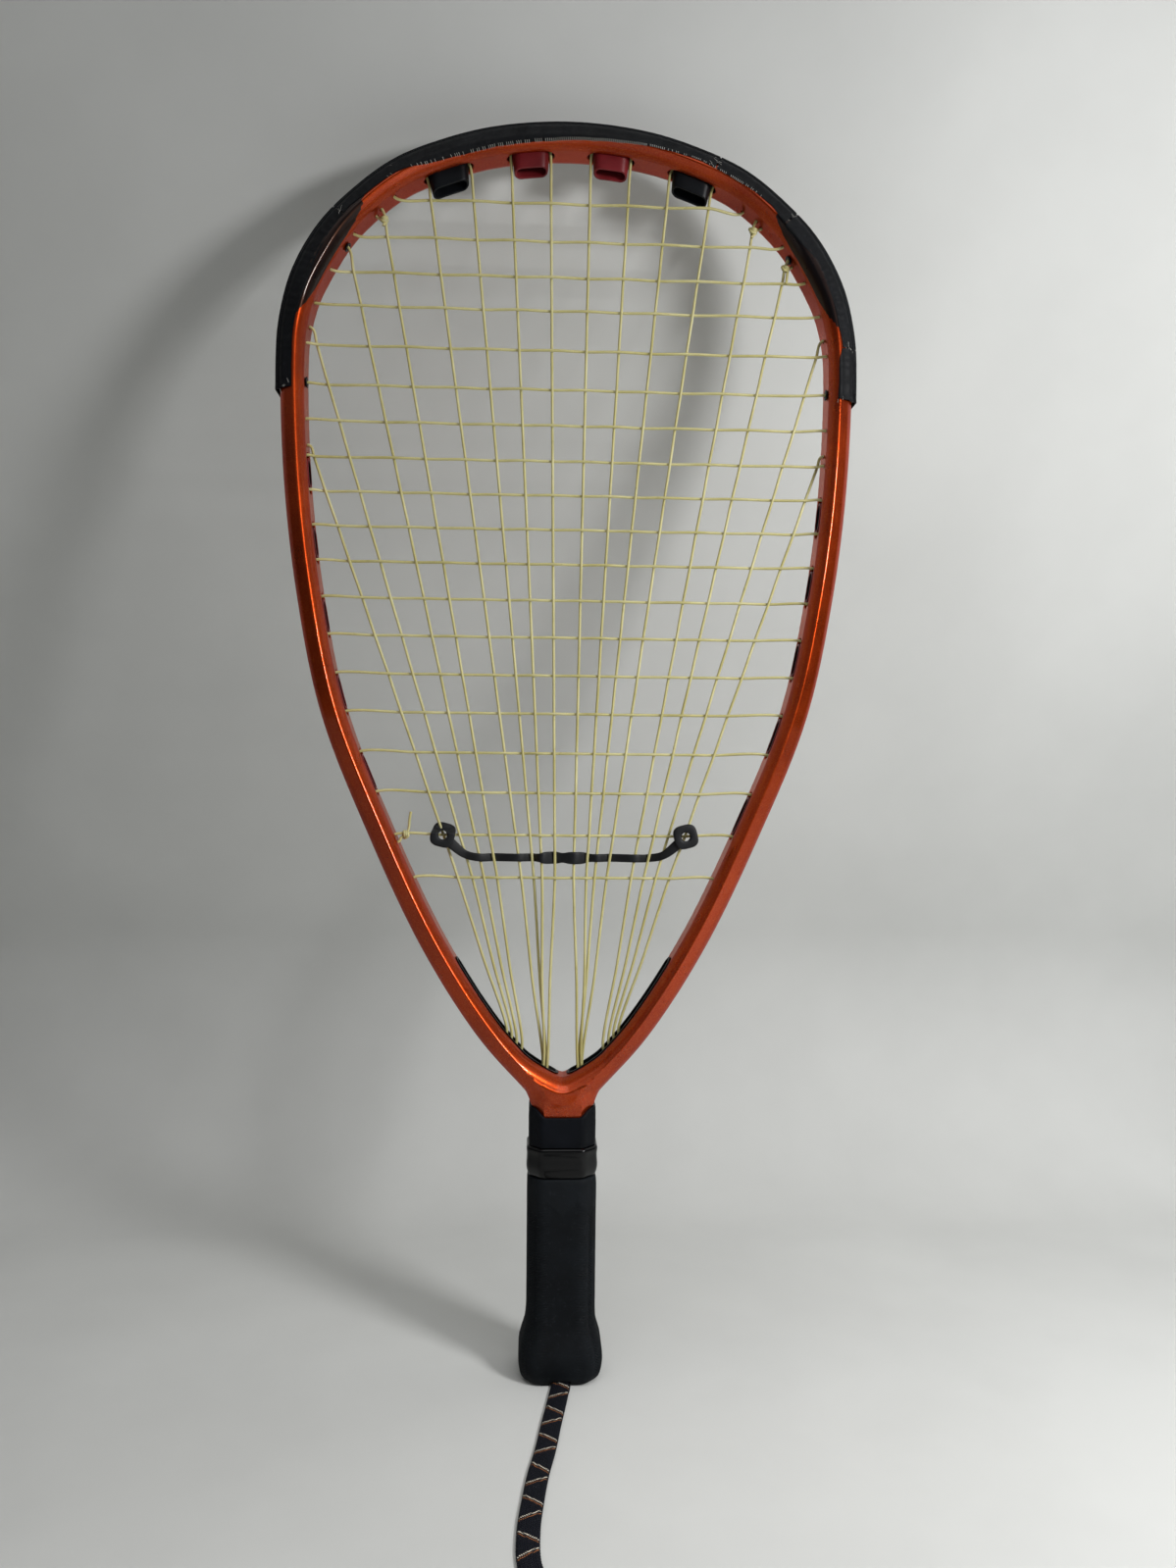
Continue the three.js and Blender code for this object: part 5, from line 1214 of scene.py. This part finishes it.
def frayed_threads():
    """White threads along the tapes' torn ends and their pinked edge."""
    rng = np.random.default_rng(5)
    shapes = []

    def thread(points, radius):
        shapes.append(tube(centripetal(points, 4), radius, 4))

    for s in np.arange(-92, 96, PINK):
        thick = 0.85 if -42 < s < 78 else 0.3
        if rng.random() > thick + 0.15 * math.sin(s * 0.09):
            continue
        toe = toe_of(s)
        heel = (0.75, 0.56), (0.3, 0.52), (-0.1 - 0.15 * rng.random(), 0.4)
        thread([place(s + 0.12 * k, toe - back, -slope(toe - back) - off)
                for k, (back, off) in enumerate(heel)], 0.085)
    spots = [(seam * TAPE_REACH, 7, 0.7) for seam in SEAMS[1:-1]]
    spots += [(-84, 4, 3), (66, 4, 2.5), (-TAPE_REACH + 1, 5, 1), (TAPE_REACH - 1, 5, 1)]
    for at, count, spread in spots:
        for _ in range(count):
            s = at + rng.normal(0, spread * 0.5)
            d = rng.uniform(-1.5, toe_of(s) + 0.2)
            high = slope(max(d, 0)) + (0.55 if d > 3.5 else 1.55 if d > -0.5 else 1.0)
            if d < -1:
                d, high = -2.0, rng.uniform(3, 6.8)
            length = rng.uniform(0.5, 2.2)
            lean = rng.uniform(-0.8, 0.8)
            way = rng.choice((-1, 1))
            points = [place(s + way * t * length + rng.normal(0, 0.05), d + lean * t + rng.normal(0, 0.06),
                            -high - 0.1 - 0.12 * math.sin(t * 3)) for t in (0, 0.4, 0.75, 1)]
            thread(points, rng.uniform(0.035, 0.065))
    piece("head_tape_threads", joined(shapes), FIBRE, None, 0)


head_guard()
for index in range(len(TAPE_NAMES)):
    head_tape(index, SEAMS[index] * TAPE_REACH + SEAM_GAP, SEAMS[index + 1] * TAPE_REACH - SEAM_GAP)
frayed_threads()

# ---------------------------------------------------------------- vibration dampener

BAND_ROW, BAND_RISE, BAND_OFF = 17, 10, 1.42
# The mains that the band passes behind
BEHIND = {-1: (0, 2, 4), 1: (1, 3, 5)}
# The eyes' half thickness, from the hole outwards
EYE_HALF = [(0.0, 0.7), (0.06, 1.0), (0.14, 1.18), (0.3, 1.28), (0.7, 1.28), (0.86, 1.18), (0.95, 1.0), (1.0, 0.7)]
EYE_HOLE, EYE_WIDE, EYE_SQUARE = 1.95, 5.35, 3.2


def eye_centre(side):
    at = main_at(7, side, CROSS_HIGH[BAND_ROW])
    return np.array([at[0], -3.6, at[2]])


def band_path():
    """The band's middle line: woven through the mains, rising to an eye at each end."""
    low, eye = CROSS_HIGH[BAND_ROW] - BAND_RISE, eye_centre(1)[0]
    woven = []
    for side in (-1, 1):
        for number in range(7):
            share = (abs(main_at(number, side, low)[0]) - 0.75 * eye) / (0.25 * eye)
            z = low + BAND_RISE * eased(share)
            x, y, _ = main_at(number, side, z)
            woven.append((x, y + (BAND_OFF if number in BEHIND[side] else -BAND_OFF), z))
    ends = [eye_centre(side) + (-side * 2.9, 0.3, -3.0) for side in (-1, 1)]
    return resampled(centripetal([ends[0], *sorted(woven), ends[1]], 16), 0.5)


def band_eye(side):
    """A rounded square eye; the left one's top is drawn back over its string."""
    angles = round_angles(56)
    turned = angles - 0.25 * side
    square = (np.abs(np.cos(turned)) ** EYE_SQUARE + np.abs(np.sin(turned)) ** EYE_SQUARE) ** (-1 / EYE_SQUARE)
    rings = []
    for share, deep in [(a, -b) for a, b in EYE_HALF] + EYE_HALF[::-1]:
        radius = EYE_HOLE * (1 - share) + EYE_WIDE * square * share
        x, z = radius * np.cos(angles), radius * np.sin(angles)
        y = np.full_like(x, deep) + (5.35 * eased((z - 0.9) / 2.4) if side < 0 else 0)
        rings.append(eye_centre(side) + np.column_stack([x, y, z]))
    return loft(rings, looped=True)


def dampener():
    path = band_path()
    x = path[:, 0]
    way = unit(np.gradient(path, axis=0))
    up = unit(np.array([0, 0, 1]) - way * way[:, 2:])
    beads = np.exp(-((x + 6.0) / 4.6) ** 4) + np.exp(-((x - 5.0) / 5.2) ** 4)
    neck = np.clip((np.abs(x) - 0.82 * eye_centre(1)[0]) / 6, 0, 1)
    high, thick = 1.82 + 0.95 * beads + 0.5 * neck, 0.62 + 0.1 * neck
    angles = round_angles(20)
    rings = swept(path, up, np.cross(way, up), high[:, None] * signed_power(np.cos(angles), 0.55),
                  thick[:, None] * signed_power(np.sin(angles), 0.6))
    shape = joined([loft(rings, run=run_of(path)), band_eye(-1), band_eye(1)])
    piece("vibration_dampener_moulded", shape, BAND, "vibration_dampener")


dampener()

# ---------------------------------------------------------------- handle

RIB_PITCH, RIB_SLANT = 1.15, 0.95
# Height, half width and half depth of the grip
GRIP_TABLE = resampled(centripetal([
    (0.0, 15.2, 13.2), (0.7, 16.2, 14.2), (2.4, 17.4, 15.3), (6.0, 18.3, 16.2), (11.0, 18.65, 16.55),
    (15.0, 18.1, 16.0), (19.0, 17.0, 14.95), (23.0, 16.0, 13.95), (28.0, 15.45, 13.45), (40.0, 15.35, 13.35),
    (70.0, 15.4, 13.4), (87.5, 15.4, 13.4), (89.3, 15.15, 13.15), (89.95, 14.7, 12.7)], 12), 0.3)


def grip_sleeve():
    """Ribbed rubber sleeve: fine slanting ribs in chevrons on each face, and a plain band at its top."""
    rings = []
    for z, wide, deep in GRIP_TABLE:
        ring = octagon(wide, deep, 6, 2.4, 4, 22)
        turns = run_of(np.vstack([ring, ring[:1]]))[:-1]
        way = unit(np.roll(ring, -1, axis=0) - np.roll(ring, 1, axis=0))
        normal = np.column_stack([way[:, 1], -way[:, 0]])
        normal *= np.sign((normal * ring).sum(axis=1))[:, None]
        face = np.abs((np.arctan2(ring[:, 1] / deep, ring[:, 0] / wide) / (math.pi / 4) + 8.5) % 1 - 0.5)
        rib = np.clip(1.5 * np.sin((z + face * 11 * RIB_SLANT) / RIB_PITCH * 2 * math.pi), -1, 1)
        plain = 80.2 - 6.5 * (1 - 2 * face)
        zone = np.clip((plain - z) / 0.5, 0, 1) * np.clip((z - 3.5) / 1.5, 0, 1)
        rough = 0.2 * wave(turns * 1.3 + z * 2.1, 5, 0.9) * np.clip((6 - z) / 4, 0, 1)
        rings.append(raised(ring + normal * ((0.17 * rib - 0.14) * zone + rough - 0.02)[:, None], z))
    for z, wide, deep, bevel in ((GRIP_TOP, 13.9, 11.9, 5.3), (89.9, *BORE), (5.0, *BORE),
                                 (4.9, 10.5, 8.5, 3), (0.3, 10.5, 8.5, 3), (0, 11, 9, 3.4)):
        rings.append(raised(octagon(wide, deep, bevel, min(1.5, bevel * 0.4), 4, 22), z))
    obj = piece("grip_sleeve_ribbed", loft(rings, looped=True), RUBBER, "grip_sleeve", 60)
    # The lace comes out through a notch in the foot
    notch = np.array([(-4.75, -17), (4.75, -17), (4.75, -6.6), (-4.75, -6.6)])
    points, faces, _ = loft([raised(notch, z) for z in (-2, 2.3)])
    cut_out(obj, make("notch", points, faces, None), RUBBER[0], 60)


def rubber_collar():
    """The glossy rubber collar above the grip, with soft rolls."""
    low, top = GRIP_TOP + SEAT_GAP, GRIP_TOP + COLLAR_HIGH
    outer = [(low, 14.5, 6.0), (low + 0.3, 14.9, 6.0), (low + 1.2, 15.25, 6.2), (low + 2.6, 15.6, 6.3),
             (low + 4.2, 15.85, 6.2), (low + 6.2, 15.75, 6.1), (low + 9.0, 15.5, 6.0), (top - 3.0, 15.6, 6.0),
             (top - 1.6, 15.85, 6.0), (top - 0.7, 15.7, 6.0), (top - 0.15, 15.1, 5.9), (top, 14.5, 5.7)]
    rings = [raised(octagon(wide, wide - 2, bevel, 1.7, 6, 6), z) for z, wide, bevel in outer]
    rings += [raised(octagon(*BORE, 1.5, 6, 6), z) for z in (top, low)]
    obj = piece("rubber_collar_rolled", loft(rings, looped=True), GLOSS, "rubber_collar")
    smooth = obj.modifiers.new("soft", "SUBSURF")
    smooth.levels = smooth.render_levels = 1


def dipping(x, start, reach):
    """Height of the handle tape's upper edge, lower across the middle."""
    return 116.9 + 3.7 * eased((np.abs(x) - start) / reach)


def handle_tape():
    """Tape wound over the top of the handle, its edge dipping across the front and back."""
    low = GRIP_TOP + COLLAR_HIGH + SEAT_GAP
    rings = []
    for t in np.linspace(0, 1, 40):
        ring = octagon(14.8, 12.8, 5.65, 1.4, 5, 14)
        x, front = ring[:, 0], ring[:, 1] < 0
        z = low + (dipping(x, 7.4, 6.4) - low) * t
        seam = (np.exp(-((x + 7.2) / 0.25) ** 2) + np.exp(-((x - 2.2) / 0.2) ** 2)) * front
        crease = 0.05 * wave(x * 1.1 + z * 0.8, 3, 0.8) + 0.04 * wave(z, 9, 1.7)
        bulge = 0.12 * math.sin(math.pi * t) + crease - 0.14 * seam - 0.35 * max(0, (t - 0.97) / 0.03) ** 2
        rings.append(np.column_stack([ring * (1 + bulge[:, None] / 14), z]))
    for share in (1, 0):
        ring = octagon(*BORE, 1.2, 5, 14)
        rings.append(np.column_stack([ring, low + (dipping(ring[:, 0], 6.8, 6.0) - low) * share]))
    piece("handle_tape_wound", loft(rings, looped=True), WRAP, "handle_tape")


def butt_plug():
    """The plug in the shaft's foot, with a slot for the lace."""
    rings = [raised(octagon(wide, wide - 2, bevel, 0.9, 4, 3), z) for z, wide, bevel in (
        (5.3, 12.4, 4.7), (5.2, 12.9, 4.9), (5.6, 13.2, 5), (7.7, 13.2, 5), (7.7, 10.7, 3.9), (15.5, 10.7, 3.9),
        (16, 10.3, 3.7))]
    rings += [raised(octagon(wide, deep, bevel, 0.3, 4, 3), z) for z, wide, deep, bevel in (
        (16, 4.75, 1.4, 0.6), (5.4, 4.75, 1.4, 0.6), (5.2, 5.1, 1.75, 0.8))]
    piece("butt_cap_slotted", loft(rings, looped=True), BLACK, "butt_cap", 35)


def lace_root():
    """The lace's way out of the butt: down through the cap, then bent flat along the ground."""
    drop = 5.2 - LACE_HIGH
    bend = [(drop * a, LACE_HIGH + drop * b) for a, b in ((0.14, 0.55), (0.62, 0.1), (1.4, 0))]
    line = [(0, 16), (0, 8), (0, 5.2), *bend, (12.5, LACE_HIGH)]
    path = resampled(centripetal([(0, -y, z) for y, z in line], 20), 0.5)
    side = np.tile((1.0, 0, 0), (len(path), 1))
    wide, high = lace_section()
    rings = swept(path, side, np.cross(side, unit(np.gradient(path, axis=0))), wide, high)
    piece("lanyard_root_woven", loft(rings, run=run_of(path), turns=wide), LACE, "lanyard_root", SHARP_LACE)


def anchor_knot():
    """The knot above the plug that holds the lace."""
    t = np.linspace(0, 2 * math.pi, 50)
    line = np.column_stack([4.6 * np.sin(t) + 2.0 * np.sin(2 * t), 2.4 * np.sin(3 * t) * 0.9,
                            20.8 + 2.6 * np.cos(t) - 0.9 * np.cos(2 * t)])
    angles = round_angles(14)
    rings = swept(line, *frames_along(line, (0, 1, 0)), 0.95 * np.cos(angles), 2.1 * np.sin(angles))
    core = [raised(octagon(*sizes), z) for z, *sizes in (
        (16.6, 4.6, 2.6, 1, 0.4), (18.5, 6.4, 3.6, 1.4, 0.6), (23, 6.2, 3.6, 1.4, 0.6), (24.8, 3.6, 2.2, 0.8, 0.3))]
    shape = joined([loft(rings[:-1], looped=True), loft(core)])
    piece("lanyard_anchor_knot_wound", shape, LACE, "lanyard_anchor_knot", SHARP_LACE)


grip_sleeve()
rubber_collar()
handle_tape()
butt_plug()
lace_root()
anchor_knot()

# ---------------------------------------------------------------- stage and light


def sweep():
    """Floor and wall in one sheet of paper, the wall leaning towards the racket's head."""
    start, radius, lean = 166, 110, math.radians(121)
    bend = [(start + radius * math.sin(a), radius * (1 - math.cos(a))) for a in np.linspace(0, lean, 26)]
    y, z = bend[-1]
    wall = [(y + math.cos(lean) * reach, z + math.sin(lean) * reach) for reach in (200, 400, 700, 1100)]
    profile = [(-900, 0), (-400, 0), (100, 0)] + bend + wall
    points = [(x, *point) for x in (-1500, -700, 0, 700, 1500) for point in profile]
    n = len(profile)
    faces = [[(c + 1) * n + i, (c + 1) * n + i + 1, c * n + i + 1, c * n + i] for c in range(4) for i in range(n - 1)]
    obj = make("paper_sweep", points, faces, paper(), recalc=False)


def lamp(name, place_at, aim, size, power):
    """A square lamp aimed at a point, in metres and watts."""
    data = bpy.data.lights.new(name, "AREA")
    data.size = size
    data.energy = power
    obj = bpy.data.objects.new(name, data)
    obj.location = place_at
    obj.rotation_euler = (Vector(aim) - Vector(place_at)).to_track_quat("-Z", "Y").to_euler()
    SCENE.collection.objects.link(obj)


def room():
    """Light from all round, weak from low down and full from straight above."""
    world = bpy.data.worlds.new("room")
    world.use_nodes = True
    net = Net(world.node_tree)
    high = net.node("SeparateXYZ", {0: net.seat["Generated"]}).outputs[2]
    rise = net.maths("POWER", net.maths("MAXIMUM", high), 2.0)
    tone = net.mix(rise, (0.035, 0.036, 0.037, 1), (1.05, 1.05, 1.04, 1))
    net.give(net.tree.nodes["Background"], {0: tone, 1: 1.0})
    SCENE.world = world


sweep()
lamp("key", (0.42, -0.42, 0.47), (0.3, 0.0, 0.08), 0.14, 3.6)
lamp("ceiling", (0.1, -0.6, 1.5), (0.1, -0.1, 0), 1.2, 6)
room()
SCENE.view_settings.view_transform = "Standard"
